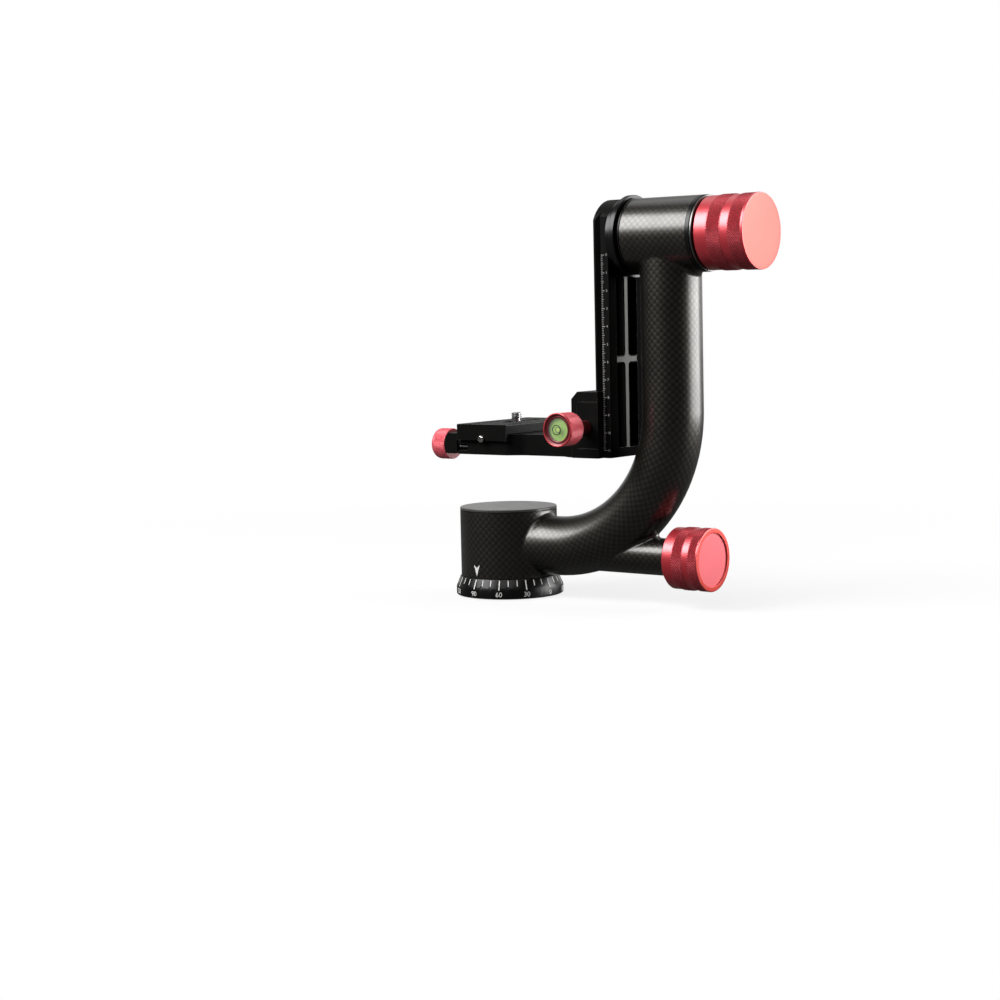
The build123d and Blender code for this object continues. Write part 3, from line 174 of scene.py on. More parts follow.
def woven_carbon():
    """Plain weave laid along the tubes under a satin clear coat.

    The map is in millimetres.
    """
    f = Finish("carbon_weave")
    lay = f.add("ShaderNodeUVMap", {"uv_map": "lay"})
    along = f.add("ShaderNodeSeparateXYZ", {}, {0: lay})
    across = Value(f, along.socket.node.outputs[1])
    wander = (f.grain(0.30, 1.0, 0.5, vector=lay) - 0.5) * 0.25
    a = along * (1.0 / TOW) + wander
    b = across * (1.0 / TOW) + wander
    odd = ((a.math("FLOOR") + b.math("FLOOR")) * 0.5).math("FRACT") * 2.0
    from_middle_a = (a.math("FRACT") * 2.0 - 1.0).math("ABSOLUTE")
    from_middle_b = (b.math("FRACT") * 2.0 - 1.0).math("ABSOLUTE")
    gap = 1.0 - from_middle_a.math("MAXIMUM", from_middle_b)
    filled = (gap * 4.5).math("MINIMUM", 1.0)
    warp_crown = 1.0 - from_middle_a * from_middle_a
    weft_crown = 1.0 - from_middle_b * from_middle_b
    crown = warp_crown * odd + weft_crown * (1.0 - odd)
    long_way = f.add("ShaderNodeCombineXYZ", {}, {0: a * 0.6, 1: b * 9.0, 2: 0.0})
    cross_way = f.add("ShaderNodeCombineXYZ", {}, {0: a * 9.0, 1: b * 0.6, 2: 4.0})
    strand = (f.grain(1.0, 2.0, 0.6, vector=long_way) * odd
              + f.grain(1.0, 2.0, 0.6, vector=cross_way) * (1.0 - odd))
    patch = f.grain(0.05, 2.0, 0.5, vector=lay)
    light = (odd * 0.74 + 0.19) * (filled * 0.45 + 0.55) * (strand * 0.8 + 0.6)
    shade = (light * (patch * 0.9 + 0.55)).math("MINIMUM", 1.0)
    colour = f.mix(shade, rgb(0.0018, 0.0016, 0.0012), rgb(0.045, 0.040, 0.031))
    f.shader(
        Base_Color=colour,
        Metallic=0.94 + odd * 0.06,
        Roughness=0.40 + odd * 0.07 + (strand - 0.5) * 0.10,
        Coat_Weight=0.83 + (patch - 0.5) * 0.2,
        Coat_Roughness=0.28,
        Coat_IOR=1.67,
        Normal=f.bump(crown * filled + (strand - 0.5) * 0.2, 0.35, 0.00012),
    )
    return f.material


def anodised_black(name="black_anodised", deep=0.0024, pale=0.007, rough=0.46, sheen=0.075):
    """Bead-blasted aluminium with a deep black dye."""
    f = Finish(name)
    blast = f.grain(5200.0, 3.0, 0.65)
    cloud = f.grain(45.0, 3.0, 0.55)
    handling = f.grain(210.0, 4.0, 0.6, (1, 1, 0.4))
    colour = f.mix(blast * 0.55 + cloud * 0.45, rgb(deep, deep * 0.95, deep * 0.9),
                   rgb(pale, pale * 0.97, pale * 0.93))
    f.shader(
        Base_Color=colour,
        Metallic=0.25,
        Roughness=rough + (cloud - 0.5) * 0.12 + (handling - 0.5) * 0.10,
        Specular_IOR_Level=sheen,
        Normal=f.bump(blast, 0.10, 0.00002),
    )
    return f.material


def worn_edge_black():
    """The broken edges of the black parts, where the dye rubs thin, lightened in patches as a
    painted highlight too.
    """
    f = Finish("black_worn_and_highlit_edge")
    rub_and_highlight = f.grain(380.0, 4.0, 0.7)
    where = (rub_and_highlight * 2.6 - 0.95).clamped()
    # Lighter in patches on the edges: rubbed dye and a painted highlight.
    colour = f.mix(where, rgb(0.007, 0.0067, 0.0064), rgb(0.060, 0.058, 0.055))
    f.shader(Base_Color=colour, Metallic=0.35, Roughness=0.38 + (rub_and_highlight - 0.5) * 0.2)
    return f.material


def anodised_red(name, low, high, coat):
    """Turned aluminium dyed red, with the fine grain that blasting leaves."""
    f = Finish(name)
    blast = f.grain(4200.0, 2.0, 0.6)
    cloud = f.grain(60.0, 3.0, 0.5)
    colour = f.mix(cloud * 0.6 + blast * 0.4, rgb(*low), rgb(*high))
    f.shader(
        Base_Color=colour,
        Metallic=0.62,
        Roughness=0.44 + (cloud - 0.5) * 0.08 + (blast - 0.5) * 0.08,
        Coat_Weight=coat + (cloud - 0.5) * 0.1,
        Coat_Roughness=0.32,
        Coat_IOR=1.85,
        Normal=f.bump(blast, 0.06, 0.00002),
    )
    return f.material


def red_knurl():
    """The knurled bands: the same dye over many small points, so duller; its pinker colour is
    painted sheen for the light those points catch.
    """
    f = Finish("red_knurl")
    blast = f.grain(3800.0, 3.0, 0.7)
    cloud = f.grain(900.0, 3.0, 0.7)
    # Pinker than the smooth bands, as painted sheen, and speckled light and dark at random.
    colour = f.mix((cloud * 1.6 - 0.3).clamped(),
                   rgb(0.27, 0.015, 0.026), rgb(0.72, 0.095, 0.118))
    f.shader(
        Base_Color=colour,
        Metallic=0.60,
        Roughness=0.38 + (blast - 0.5) * 0.08,
        Coat_Weight=0.25 + (cloud - 0.5) * 0.1,
        Coat_Roughness=0.4,
        Normal=f.bump(blast, 0.12, 0.00003),
    )
    return f.material


def red_speckle():
    """The small knobs: a rough blasted pink-red that glitters a little."""
    f = Finish("red_speckle")
    grit = f.grain(1900.0, 4.0, 0.8)
    cloud = f.grain(160.0, 3.0, 0.5)
    colour = f.mix((grit * 1.6 - 0.3).clamped(),
                   rgb(0.74, 0.036, 0.062), rgb(0.98, 0.180, 0.225))
    f.shader(
        Base_Color=colour,
        Metallic=0.35,
        Roughness=0.42 + (grit - 0.5) * 0.08,
        Coat_Weight=0.85 + (cloud - 0.5) * 0.1,
        Coat_Roughness=0.33,
        Coat_IOR=1.8,
        Normal=f.bump(grit, 0.18, 0.00004),
    )
    return f.material


def red_face(name, low, high, bare):
    """The flat end faces of the big knobs: faced off, so finer and paler."""
    f = Finish(name)
    blast = f.grain(4600.0, 2.0, 0.6)
    cloud = f.grain(35.0, 3.0, 0.5)
    colour = f.mix(cloud * 0.5 + blast * 0.5, rgb(*low), rgb(*high))
    f.shader(
        Base_Color=colour,
        Metallic=bare,
        Roughness=0.42 + (blast - 0.5) * 0.08,
        Coat_Weight=0.1 + (cloud - 0.5) * 0.1,
        Coat_Roughness=0.3,
        Normal=f.bump(blast, 0.05, 0.00002),
    )
    return f.material


def red_worn_edge():
    """Thin bright edges on the red knobs: a paler red for rubbed dye and a painted highlight."""
    f = Finish("red_highlit_edge")
    rub_and_highlight = f.grain(420.0, 3.0, 0.6)
    colour = f.mix(rub_and_highlight, rgb(0.52, 0.055, 0.062), rgb(0.66, 0.14, 0.135))
    f.shader(Base_Color=colour, Metallic=0.9, Roughness=0.34 + (rub_and_highlight - 0.5) * 0.1)
    return f.material


def metal(name, low, high, rough, scale=900.0, strength=0.08):
    """Bare metal with a fine machined or ground grain."""
    f = Finish(name)
    grain = f.grain(scale, 3.0, 0.6)
    cloud = f.grain(70.0, 2.0, 0.5)
    colour = f.mix(grain * 0.5 + cloud * 0.5, rgb(*low), rgb(*high))
    f.shader(
        Base_Color=colour,
        Metallic=1.0,
        Roughness=rough + (cloud - 0.5) * 0.1 + (grain - 0.5) * 0.1,
        Normal=f.bump(grain, strength, 0.00003),
    )
    return f.material


def pad_rubber():
    f = Finish("pad_rubber")
    fine = f.grain(2600.0, 3.0, 0.7)
    dust = f.grain(120.0, 4.0, 0.6)
    colour = f.mix(dust, rgb(0.010, 0.010, 0.010), rgb(0.030, 0.029, 0.028))
    f.shader(Base_Color=colour, Roughness=0.72 + (dust - 0.5) * 0.2,
             Normal=f.bump(fine, 0.3, 0.00004))
    return f.material


def brake_resin():
    f = Finish("brake_resin")
    speck = f.grain(1500.0, 3.0, 0.8)
    colour = f.mix(speck, rgb(0.16, 0.10, 0.05), rgb(0.42, 0.30, 0.17))
    f.shader(Base_Color=colour, Roughness=0.62 + (speck - 0.5) * 0.2,
             Normal=f.bump(speck, 0.2, 0.00005))
    return f.material


def white_fill(name, low, high):
    """White paint in the engraved marks, a little uneven."""
    f = Finish(name)
    chip = f.grain(1400.0, 4.0, 0.7)
    colour = f.mix(chip, rgb(low, low, low * 0.98), rgb(high, high, high * 0.98))
    f.shader(Base_Color=colour, Roughness=0.55 + (chip - 0.5) * 0.2)
    return f.material


def satin_grey():
    """Faced bare aluminium on the rail's rib, brushed along its length."""
    f = Finish("satin_rib")
    brush = f.grain(1500.0, 3.0, 0.6, (1, 1, 0.04))
    cloud = f.grain(50.0, 2.0, 0.5)
    colour = f.mix(brush * 0.5 + cloud * 0.5, rgb(0.018, 0.018, 0.017), rgb(0.036, 0.036, 0.034))
    f.shader(Base_Color=colour, Metallic=0.85, Roughness=0.40 + (brush - 0.5) * 0.14,
             Normal=f.bump(brush, 0.06, 0.00002))
    return f.material


def vial_liquid(name="vial_liquid", low=(0.18, 0.33, 0.023), high=(0.25, 0.42, 0.042)):
    f = Finish(name)
    depth = f.grain(90.0, 2.0, 0.5)
    colour = f.mix(depth, rgb(*low), rgb(*high))
    # The filling glows with its own colour as emission: painted light, for it is no lamp.
    f.shader(Base_Color=colour, Roughness=0.22 + (depth - 0.5) * 0.1, Emission_Color=colour,
             Emission_Strength=0.22, Coat_Weight=0.6, Coat_Roughness=0.10)
    return f.material


def vial_glass():
    f = Finish("vial_glass")
    smear = f.grain(260.0, 3.0, 0.6)
    f.shader(Base_Color=rgb(0.90, 0.97, 0.88), Roughness=0.05 + smear * 0.06, IOR=1.49,
             Alpha=0.07 + smear * 0.04)
    return f.material


def dark_ink():
    # Print on the vial, and painted shade for the bubble's dark rim.
    f = Finish("vial_ink_and_bubble_shade")
    thin = f.grain(1800.0, 2.0, 0.6)
    f.shader(Base_Color=f.mix(thin, rgb(0.010, 0.014, 0.006), rgb(0.030, 0.040, 0.014)),
             Roughness=0.5 + (thin - 0.5) * 0.2)
    return f.material


CARBON = woven_carbon()
BLACK = anodised_black()
BLACK_TURNED = anodised_black("black_turned", 0.002, 0.006, 0.30, 0.42)
# A paler black than the other black parts: painted sheen for the cap's reflection of the bright
# surroundings.
CAP_PAINTED_SHEEN = anodised_black("cap_satin_painted_sheen", 0.045, 0.085, 0.29, 0.9)
# A darker, duller copy of the black: painted shade on the rail's faces behind the arm's tube.
BLACK_PAINTED_SHADE = anodised_black("black_for_painted_shade", 0.0007, 0.0018, 0.62, 0.0)
# Broken edges of the black parts: rubbed dye with a painted highlight.
BLACK_EDGE = worn_edge_black()
RED = anodised_red("red_anodised", (0.57, 0.019, 0.034), (0.70, 0.038, 0.058), 0.74)
# A darker copy of the red: painted shade on the shanks, the vial's bezel and the rim's inner
# slope.
RED_PAINTED_SHADE = anodised_red("red_for_painted_shade", (0.11, 0.004, 0.008), (0.19, 0.009, 0.016), 0.40)
RED_PAINTED_KNURL_SHEEN = red_knurl()
RED_SPECKLE = red_speckle()
RED_FACE = red_face("red_faced_end", (0.50, 0.044, 0.033), (0.58, 0.062, 0.048), 0.85)
RED_DISC = red_face("red_disc", (0.62, 0.100, 0.116), (0.70, 0.140, 0.160), 0.55)
# The red knobs' rim chamfers: rubbed dye with a painted highlight.
RED_EDGE = red_worn_edge()
STEEL = metal("steel", (0.36, 0.36, 0.37), (0.55, 0.55, 0.56), 0.30)
BLACK_STEEL = metal("black_steel", (0.025, 0.025, 0.026), (0.06, 0.06, 0.062), 0.34)
DULL_STEEL = metal("dull_steel", (0.11, 0.11, 0.11), (0.21, 0.21, 0.20), 0.36)
BRIGHT = metal("bright_steel", (0.70, 0.69, 0.67), (0.86, 0.85, 0.83), 0.16, 600.0, 0.04)
BRASS = metal("brass", (0.62, 0.42, 0.16), (0.78, 0.56, 0.25), 0.26)
RIB = satin_grey()
RUBBER = pad_rubber()
RESIN = brake_resin()
WHITE = white_fill("white_fill", 0.60, 0.80)
PALE = white_fill("scale_fill", 0.24, 0.48)
# The filling and the bubble glow a little: painted light.
GLOWING_LIQUID = vial_liquid()
GLOWING_BUBBLE = vial_liquid("vial_bubble", (0.29, 0.43, 0.07), (0.37, 0.51, 0.12))
GLASS = vial_glass()
INK_AND_BUBBLE_SHADE = dark_ink()


# ------------------------------------------------------------ making pieces
def drop_selection():
    """Nothing stays selected before the next primitive is added."""
    if bpy.context.object and bpy.context.object.mode != "OBJECT":
        bpy.ops.object.mode_set(mode="OBJECT")
    bpy.ops.object.select_all(action="DESELECT")


def take(piece):
    drop_selection()
    piece.select_set(True)
    bpy.context.view_layer.objects.active = piece


def edit(piece=None):
    if piece:
        take(piece)
    bpy.ops.object.mode_set(mode="EDIT")
    return bmesh.from_edit_mesh(bpy.context.object.data)


def leave():
    bpy.ops.object.mode_set(mode="OBJECT")


def pick(kind, test):
    """Select, by their place, the vertices, edges or faces of the piece being edited."""
    bpy.ops.mesh.select_mode(type=kind)
    bpy.ops.mesh.select_all(action="DESELECT")
    shape = bmesh.from_edit_mesh(bpy.context.object.data)
    items = {"VERT": shape.verts, "EDGE": shape.edges, "FACE": shape.faces}[kind]
    for item in items:
        if test(item):
            item.select_set(True)
    shape.select_flush_mode()
    bmesh.update_edit_mesh(bpy.context.object.data)


LINES = {
    "x": (Vector((1, 0, 0)), (math.radians(90), 0, math.radians(90))),
    "-x": (Vector((-1, 0, 0)), (math.radians(90), 0, math.radians(-90))),
    "y": (Vector((0, 1, 0)), (math.radians(-90), 0, 0)),
    "-y": (Vector((0, -1, 0)), (math.radians(90), 0, 0)),
    "z": (Vector((0, 0, 1)), (0, 0, 0)),
    "-z": (Vector((0, 0, -1)), (math.radians(180), 0, 0)),
}


ALMOST_STRAIGHT = math.radians(160)
EDGE_SHARE = 0.4


def eased(profile, size):
    """A profile with each corner taken off by a small flat."""
    points = [Vector(point) for point in profile]
    made = [points[0]]
    for before, corner, after in zip(points, points[1:], points[2:]):
        back = before - corner
        ahead = after - corner
        if back.length < 1e-6 or ahead.length < 1e-6:
            continue
        if back.angle(ahead) > ALMOST_STRAIGHT:
            made.append(corner)
            continue
        reach = min(size, back.length * EDGE_SHARE, ahead.length * EDGE_SHARE)
        made.append(corner + back.normalized() * reach)
        made.append(corner + ahead.normalized() * reach)
    made.append(points[-1])
    return [tuple(point) for point in made]


def turned(name, line, centre, profile, steps=96, hollow=False):
    """A turned piece, pulled ring by ring.

    The profile is (place along the line, radius) in millimetres.
    """
    way, tilt = LINES[line]
    centre = Vector(centre) * MM
    place, radius = profile[0]
    drop_selection()
    bpy.ops.mesh.primitive_circle_add(
        vertices=steps, radius=radius * MM, fill_type="NOTHING" if hollow else "NGON",
        location=centre + way * (place * MM), rotation=tilt,
    )
    piece = bpy.context.object
    piece.name = name
    bpy.ops.object.transform_apply(location=True, rotation=True, scale=True)
    edit()
    bpy.ops.mesh.select_mode(type="EDGE" if hollow else "FACE")
    bpy.ops.mesh.select_all(action="SELECT")
    for next_place, next_radius in profile[1:]:
        step = way * ((next_place - place) * MM)
        if hollow:
            bpy.ops.mesh.extrude_edges_move(TRANSFORM_OT_translate={"value": step})
        else:
            bpy.ops.mesh.extrude_region_move(TRANSFORM_OT_translate={"value": step})
        size = next_radius / radius
        if abs(size - 1) > 1e-7:
            bpy.ops.transform.resize(
                value=(size, size, size), center_override=centre + way * (next_place * MM))
        place, radius = next_place, next_radius
    if hollow:
        pick("EDGE", lambda e: e.is_boundary)
        bpy.ops.mesh.bridge_edge_loops()
    bpy.ops.mesh.select_all(action="SELECT")
    bpy.ops.mesh.normals_make_consistent(inside=False)
    leave()
    return piece


def prism(name, line, start, length, outline):
    """A straight piece: an outline in millimetres, drawn out along a line."""
    way, _ = LINES[line]
    drop_selection()
    bpy.ops.mesh.primitive_circle_add(vertices=len(outline), radius=MM, fill_type="NGON")
    piece = bpy.context.object
    piece.name = name
    shape = edit()
    shape.verts.ensure_lookup_table()
    for vertex, (across, up) in zip(shape.verts, outline):
        if line in ("x", "-x"):
            vertex.co = Vector((start, across, up)) * MM
        elif line in ("y", "-y"):
            vertex.co = Vector((across, start, up)) * MM
        else:
            vertex.co = Vector((across, up, start)) * MM
    bmesh.update_edit_mesh(piece.data)
    bpy.ops.mesh.select_all(action="SELECT")
    bpy.ops.mesh.extrude_region_move(TRANSFORM_OT_translate={"value": way * (length * MM)})
    bpy.ops.mesh.select_all(action="SELECT")
    bpy.ops.mesh.normals_make_consistent(inside=False)
    leave()
    return piece


def copy_of_node(node, name):
    """A merged copy of a CAD node, its loose triangles joined into whole faces."""
    source = frame["nodes"][node]
    piece = bpy.data.objects.new(name, source.data.copy())
    piece.data.materials.clear()
    bpy.context.scene.collection.objects.link(piece)
    edit(piece)
    bpy.ops.mesh.select_mode(type="VERT")
    bpy.ops.mesh.select_all(action="SELECT")
    bpy.ops.mesh.remove_doubles(threshold=WELD)
    bpy.ops.mesh.normals_make_consistent(inside=False)
    bpy.ops.mesh.customdata_custom_splitnormals_clear()
    leave()
    return piece


def flattened(piece):
    """Triangles that lie in one plane become one face."""
    edit(piece)
    bpy.ops.mesh.select_all(action="SELECT")
    bpy.ops.mesh.dissolve_limited(angle_limit=math.radians(0.4), use_dissolve_boundaries=False)
    leave()


def break_edges(piece, width, segments=2, angle=28, edge_slot=0):
    """Take the sharp edges off; the new faces can carry a finish of their own, such as rubbed dye
    with a painted highlight.
    """
    take(piece)
    bevel = piece.modifiers.new("edges", "BEVEL")
    bevel.width = width * MM
    bevel.segments = segments
    bevel.limit_method = "ANGLE"
    bevel.angle_limit = math.radians(angle)
    bevel.use_clamp_overlap = True
    bevel.miter_outer = "MITER_ARC"
    bevel.material = edge_slot
    bpy.ops.object.modifier_apply(modifier=bevel.name)


def cut(piece, cutter):
    take(piece)
    tool = piece.modifiers.new("cut", "BOOLEAN")
    tool.object = cutter
    tool.operation = "DIFFERENCE"
    tool.solver = "EXACT"
    bpy.ops.object.modifier_apply(modifier=tool.name)
    bpy.data.objects.remove(cutter)


def smooth(piece, angle=32):
    """Smooth shading on the rounds, with the big flat faces kept flat beside them."""
    take(piece)
    bpy.ops.object.shade_smooth_by_angle(angle=math.radians(angle))
    weigh = piece.modifiers.new("flat_faces", "WEIGHTED_NORMAL")
    weigh.keep_sharp = True
    weigh.weight = 80
    bpy.ops.object.modifier_apply(modifier=weigh.name)


def join(first, *others):
    drop_selection()
    for piece in others:
        piece.select_set(True)
    first.select_set(True)
    bpy.context.view_layer.objects.active = first
    bpy.ops.object.join()
    return first


def again(piece, name):
    """A copy with a mesh of its own."""
    other = piece.copy()
    other.data = piece.data.copy()
    other.name = name
    bpy.context.scene.collection.objects.link(other)
    return other


def turn(piece, angle, line, centre):
    """Turn a piece's mesh about a line through a point, by degrees."""
    way = LINES[line][0]
    spot = Vector(centre) * MM
    piece.data.transform(
        Matrix.Translation(spot)
        @ Matrix.Rotation(math.radians(angle), 4, way)
        @ Matrix.Translation(-spot)
    )


def done(piece, body, finish, stands_for=()):
    """Give a piece its finish in any empty slot, its body, and the nodes it stands for.

    A piece with no finish given here has its own already.
    """
    if finish:
        finishes = piece.data.materials
        if len(finishes) == 0:
            finishes.append(finish)
        for index in range(len(finishes)):
            if finishes[index] is None:
                finishes[index] = finish
    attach(piece, body)
    if stands_for:
        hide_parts(*stands_for)


def dressed(node, body, finish, edge_finish, slot, width):
    """A CAD node's shape with its edges broken and its finish on."""
    piece = copy_of_node(node, f"{node}_made")
    flattened(piece)
    piece.data.materials.append(finish)
    if edge_finish:
        piece.data.materials.append(edge_finish)
    break_edges(piece, width, edge_slot=1 if edge_finish else 0)
    smooth(piece)
    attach(piece, body)
    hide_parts(node)
    return piece


# -------------------------------------------------------------- carbon arm
def tube_spot(point):
    """Distance along the bent tube's line, angle round it and distance from it."""
    x, y, z = point
    if x < BEND_X and z < TUBE_Z + BEND_R:
        along, rise = x, z - TUBE_Z
    elif z > TUBE_Z + BEND_R:
        along = BEND_X + BEND_R * math.pi / 2 + z - TUBE_Z - BEND_R
        rise = UPRIGHT_X - x
    else:
        across, down = x - BEND_X, TUBE_Z + BEND_R - z
        along = BEND_X + BEND_R * math.atan2(across, down)
        rise = BEND_R - math.hypot(across, down)
    return along, math.atan2(y, rise), math.hypot(y, rise)


def lay_of(point, zone):
    """Where a point lies on the weave of one part of the arm.

    The result is (along, angle, millimetres to a radian). Each round has a whole, even number
    of tows, so that the weave meets itself.
    """
    x, y, z = point
    if zone == "barrel":
        along, angle = z, math.atan2(y, x)
    elif zone == "sleeve":
        along, angle = x, math.atan2(y, z - TILT_Z)
    elif zone == "boss":
        along, angle = x, math.atan2(y, z - PAN_LOCK_Z)
    else:
        along, angle, _ = tube_spot(point)
    return along, angle, TOWS_ROUND[zone] * TOW / (2 * math.pi)


TOO_FAR = 99
BARREL_TOP = 53
SLEEVE_FROM_X, SLEEVE_FOOT = 96, 180
BOSS_FROM_X, BOSS_TOP = 60, 45


def zone_of(point):
    """The part of the arm whose skin a point lies nearest to."""
    x, y, z = point
    on_sleeve = x > SLEEVE_FROM_X and z > SLEEVE_FOOT
    on_boss = x > BOSS_FROM_X and z < BOSS_TOP
    gaps = {
        "barrel": abs(math.hypot(x, y) - BARREL_R) if z < BARREL_TOP else TOO_FAR,
        "tube": abs(tube_spot(point)[2] - TUBE_R),
        "sleeve": abs(math.hypot(y, z - TILT_Z) - SLEEVE_R) if on_sleeve else TOO_FAR,
        "boss": abs(math.hypot(y, z - PAN_LOCK_Z) - BOSS_R) if on_boss else TOO_FAR,
    }
    return min(gaps, key=gaps.get)


def make_arm():
    arm = copy_of_node("carbon_arm", "arm_shell")
    flattened(arm)
    break_edges(arm, 0.25, angle=50)
    lay = arm.data.uv_layers.new(name="lay")
    for face in arm.data.polygons:
        middle = face.center / MM
        zone = zone_of(middle)
        _, base, _ = lay_of(middle, zone)
        for corner in face.loop_indices:
            point = arm.data.vertices[arm.data.loops[corner].vertex_index].co / MM
            along, angle, radius = lay_of(point, zone)
            while angle - base > math.pi:
                angle -= 2 * math.pi
            while angle - base < -math.pi:
                angle += 2 * math.pi
            lay.data[corner].uv = (along, angle * radius)
    smooth(arm, 35)
    done(arm, "arm", CARBON, ["carbon_arm"])


make_arm()


# ------------------------------------------------------------------- knobs
KNURL_PITCH = 1.4
KNURL_RISE = 0.44
SMALL_KNURL_RISE = 0.16
KNURL_FLOOR = 10.0  # faces nearer the axis keep the smooth finish
FACE_DEPTH = 0.0022  # metres back from the rim, and the next one too
EDGE_DEPTH = 0.0007
KNOB_ANGLE = 24


def knurl(piece, line, centre, start, width, rows, rise):
    """Cut a diamond knurl into one band: quads become diamonds, diamonds become points."""
    way = LINES[line][0]
    middle = Vector(centre) * MM
    end_low = start * MM
    end_high = (start + width) * MM
    low = end_low - WELD
    high = end_high + WELD

    def reach(point):
        return (point - middle).dot(way)

    def out_from(point):
        away = point - middle
        return (away - way * away.dot(way)).length

    skin = 0.9 * max(out_from(v.co) for v in piece.data.vertices)

    def in_band(item):
        return all(low < reach(v.co) < high and out_from(v.co) > skin for v in item.verts)

    def long_edge(edge):
        ends = [reach(v.co) for v in edge.verts]
        return in_band(edge) and abs(ends[0] - ends[1]) > width * MM * 0.9

    edit(piece)
    pick("EDGE", long_edge)
    bpy.ops.mesh.subdivide(number_cuts=rows - 1)
    pick("FACE", lambda f: in_band(f) and abs(f.normal.dot(way)) < 0.1)
    bpy.ops.mesh.poke()

    def old_edge(edge):
        if not in_band(edge):
            return False
        step = edge.verts[1].co - edge.verts[0].co
        slope = abs(step.dot(way)) / max(step.length, 1e-9)
        if slope > 0.98:
            return True
        places = [reach(v.co) for v in edge.verts]
        inside = all(end_low + 1e-6 < place < end_high - 1e-6 for place in places)
        return slope < 0.02 and inside

    pick("EDGE", old_edge)
    bpy.ops.mesh.dissolve_edges(use_verts=False, use_face_split=False)
    pick("FACE", lambda f: in_band(f) and len(f.verts) == 4 and abs(f.normal.dot(way)) < 0.2)
    bpy.ops.mesh.poke(offset=rise * MM, use_relative_offset=False)
    leave()


def hatched(piece, index, line, centre, radius, bands):
    """Give every knurled face its own finish: those that lie over the base radius in a band."""
    way = LINES[line][0]
    middle = Vector(centre) * MM
    for face in piece.data.polygons:
        out = face.center - middle
        along = out.dot(way)
        over = (out - way * along).length
        if any(low * MM < along < high * MM for low, high in bands) and over > radius * MM:
            face.material_index = index


def colour_faces(piece, index, test):
    for face in piece.data.polygons:
        if test(face):
            face.material_index = index


def make_big_knob(name, centre, start, bands, knurl_radius, waist, around, face_disc):
    """A lock knob: smooth and knurled bands, a rim, and an end face or a recess for one."""
    base = knurl_radius - KNURL_RISE
    edges = [start]
    for width in bands:
        edges.append(edges[-1] + width)
    s0, s1, s2, s3, s4, s5 = edges
    crown = 0 if face_disc else 0.5
    s5 -= crown
    profile = [(s0, waist - 1.0), (s0 + 1.0, waist), (s1 - 0.05, waist), (s1, waist + 0.05)]
    profile += [(s1 + 0.001, base), (s2 - 0.001, base)]
    profile += [(s2, waist + 0.05), (s2 + 0.05, waist), (s3 - 0.05, waist), (s3, waist + 0.05)]
    profile += [(s3 + 0.001, base), (s4 - 0.001, base)]
    profile += [(s4, base + 0.05), (s4 + 0.12, knurl_radius), (s5 - 0.45, knurl_radius)]
    profile += [(s5 - 0.13, knurl_radius - 0.12), (s5, knurl_radius - 0.45)]
    if face_disc:
        disc_radius, recess = face_disc
        profile += [(s5, disc_radius + 0.25), (s5 - 0.2, disc_radius), (s5 - recess, disc_radius)]
    else:
        for share in (0.9, 0.75, 0.6, 0.4, 0.2):
            profile.append((s5 + crown * (1 - share * share), (knurl_radius - 0.45) * share))
    knob = turned(name, "x", centre, profile, around)
    for band_start, band_end in ((s1, s2), (s3, s4)):
        rows = max(3, round((band_end - band_start) / KNURL_PITCH))
        knurl(knob, "x", centre, band_start + 0.001, band_end - band_start - 0.002,
              rows, KNURL_RISE)
    return knob, edges


def finish_big_knob(knob, edges, axis, body, nodes):
    for finish in (RED, RED_FACE, RED_EDGE, RED_PAINTED_KNURL_SHEEN):
        knob.data.materials.append(finish)
    _, face, edge, knurled = range(4)
    last = edges[-1] * MM
    # The knurled faces take the pinker red: painted sheen.
    hatched(knob, knurled, "x", axis, KNURL_FLOOR, [(edges[1], edges[2]), (edges[3], edges[4])])
    colour_faces(knob, face, lambda f: f.normal.x > FACING and f.center.x > last - FACE_DEPTH)
    # The rim's chamfers take the paler edge red: rubbed dye and a painted highlight.
    colour_faces(knob, edge, lambda f: (
        0.3 < f.normal.x <= FACING and f.center.x > last - EDGE_DEPTH))
    smooth(knob, KNOB_ANGLE)
    done(knob, body, None, nodes)


tilt_knob, tilt_edges = make_big_knob(
    "tilt_knob_turned", TILT_AXIS, 144.1, (8.3, 8.8, 4.6, 8.4, 2.1), 20.9, 20.4, 92, None)
finish_big_knob(tilt_knob, tilt_edges, TILT_AXIS, "tilt_knob", ["tilt_lock_knob"])

pan_knob, pan_edges = make_big_knob(
    "pan_knob_turned", PAN_LOCK_AXIS, 118.7, (6.9, 6.9, 3.6, 5.6, 1.0), 18.0, 17.5, 80,
    (15.2, 0.8))
finish_big_knob(pan_knob, pan_edges, PAN_LOCK_AXIS, "pan_knob", ["pan_lock_knob"])

disc = turned("pan_knob_end_disc", "x", PAN_LOCK_AXIS,
              eased([(140.7, 14.0), (140.7, 15.1), (141.93, 15.1), (141.93, 0.5)], 0.12), 96)
disc.data.materials.append(RED_DISC)
smooth(disc)
done(disc, "pan_knob", None, ["pan_knob_disc"])


# --------------------------------------------------------- rings and hub
def ring_piece(name, body, finish, centre, profile, nodes,
               steps=112, hollow=True, size=0.15):
    """A turned ring round a line along X, or a solid one where hollow is off."""
    closed = eased(profile + [profile[0]], size)[:-1] if hollow else eased(profile, size)
    piece = turned(name, "x", centre, closed, steps, hollow)
    smooth(piece)
    done(piece, body, finish, nodes)


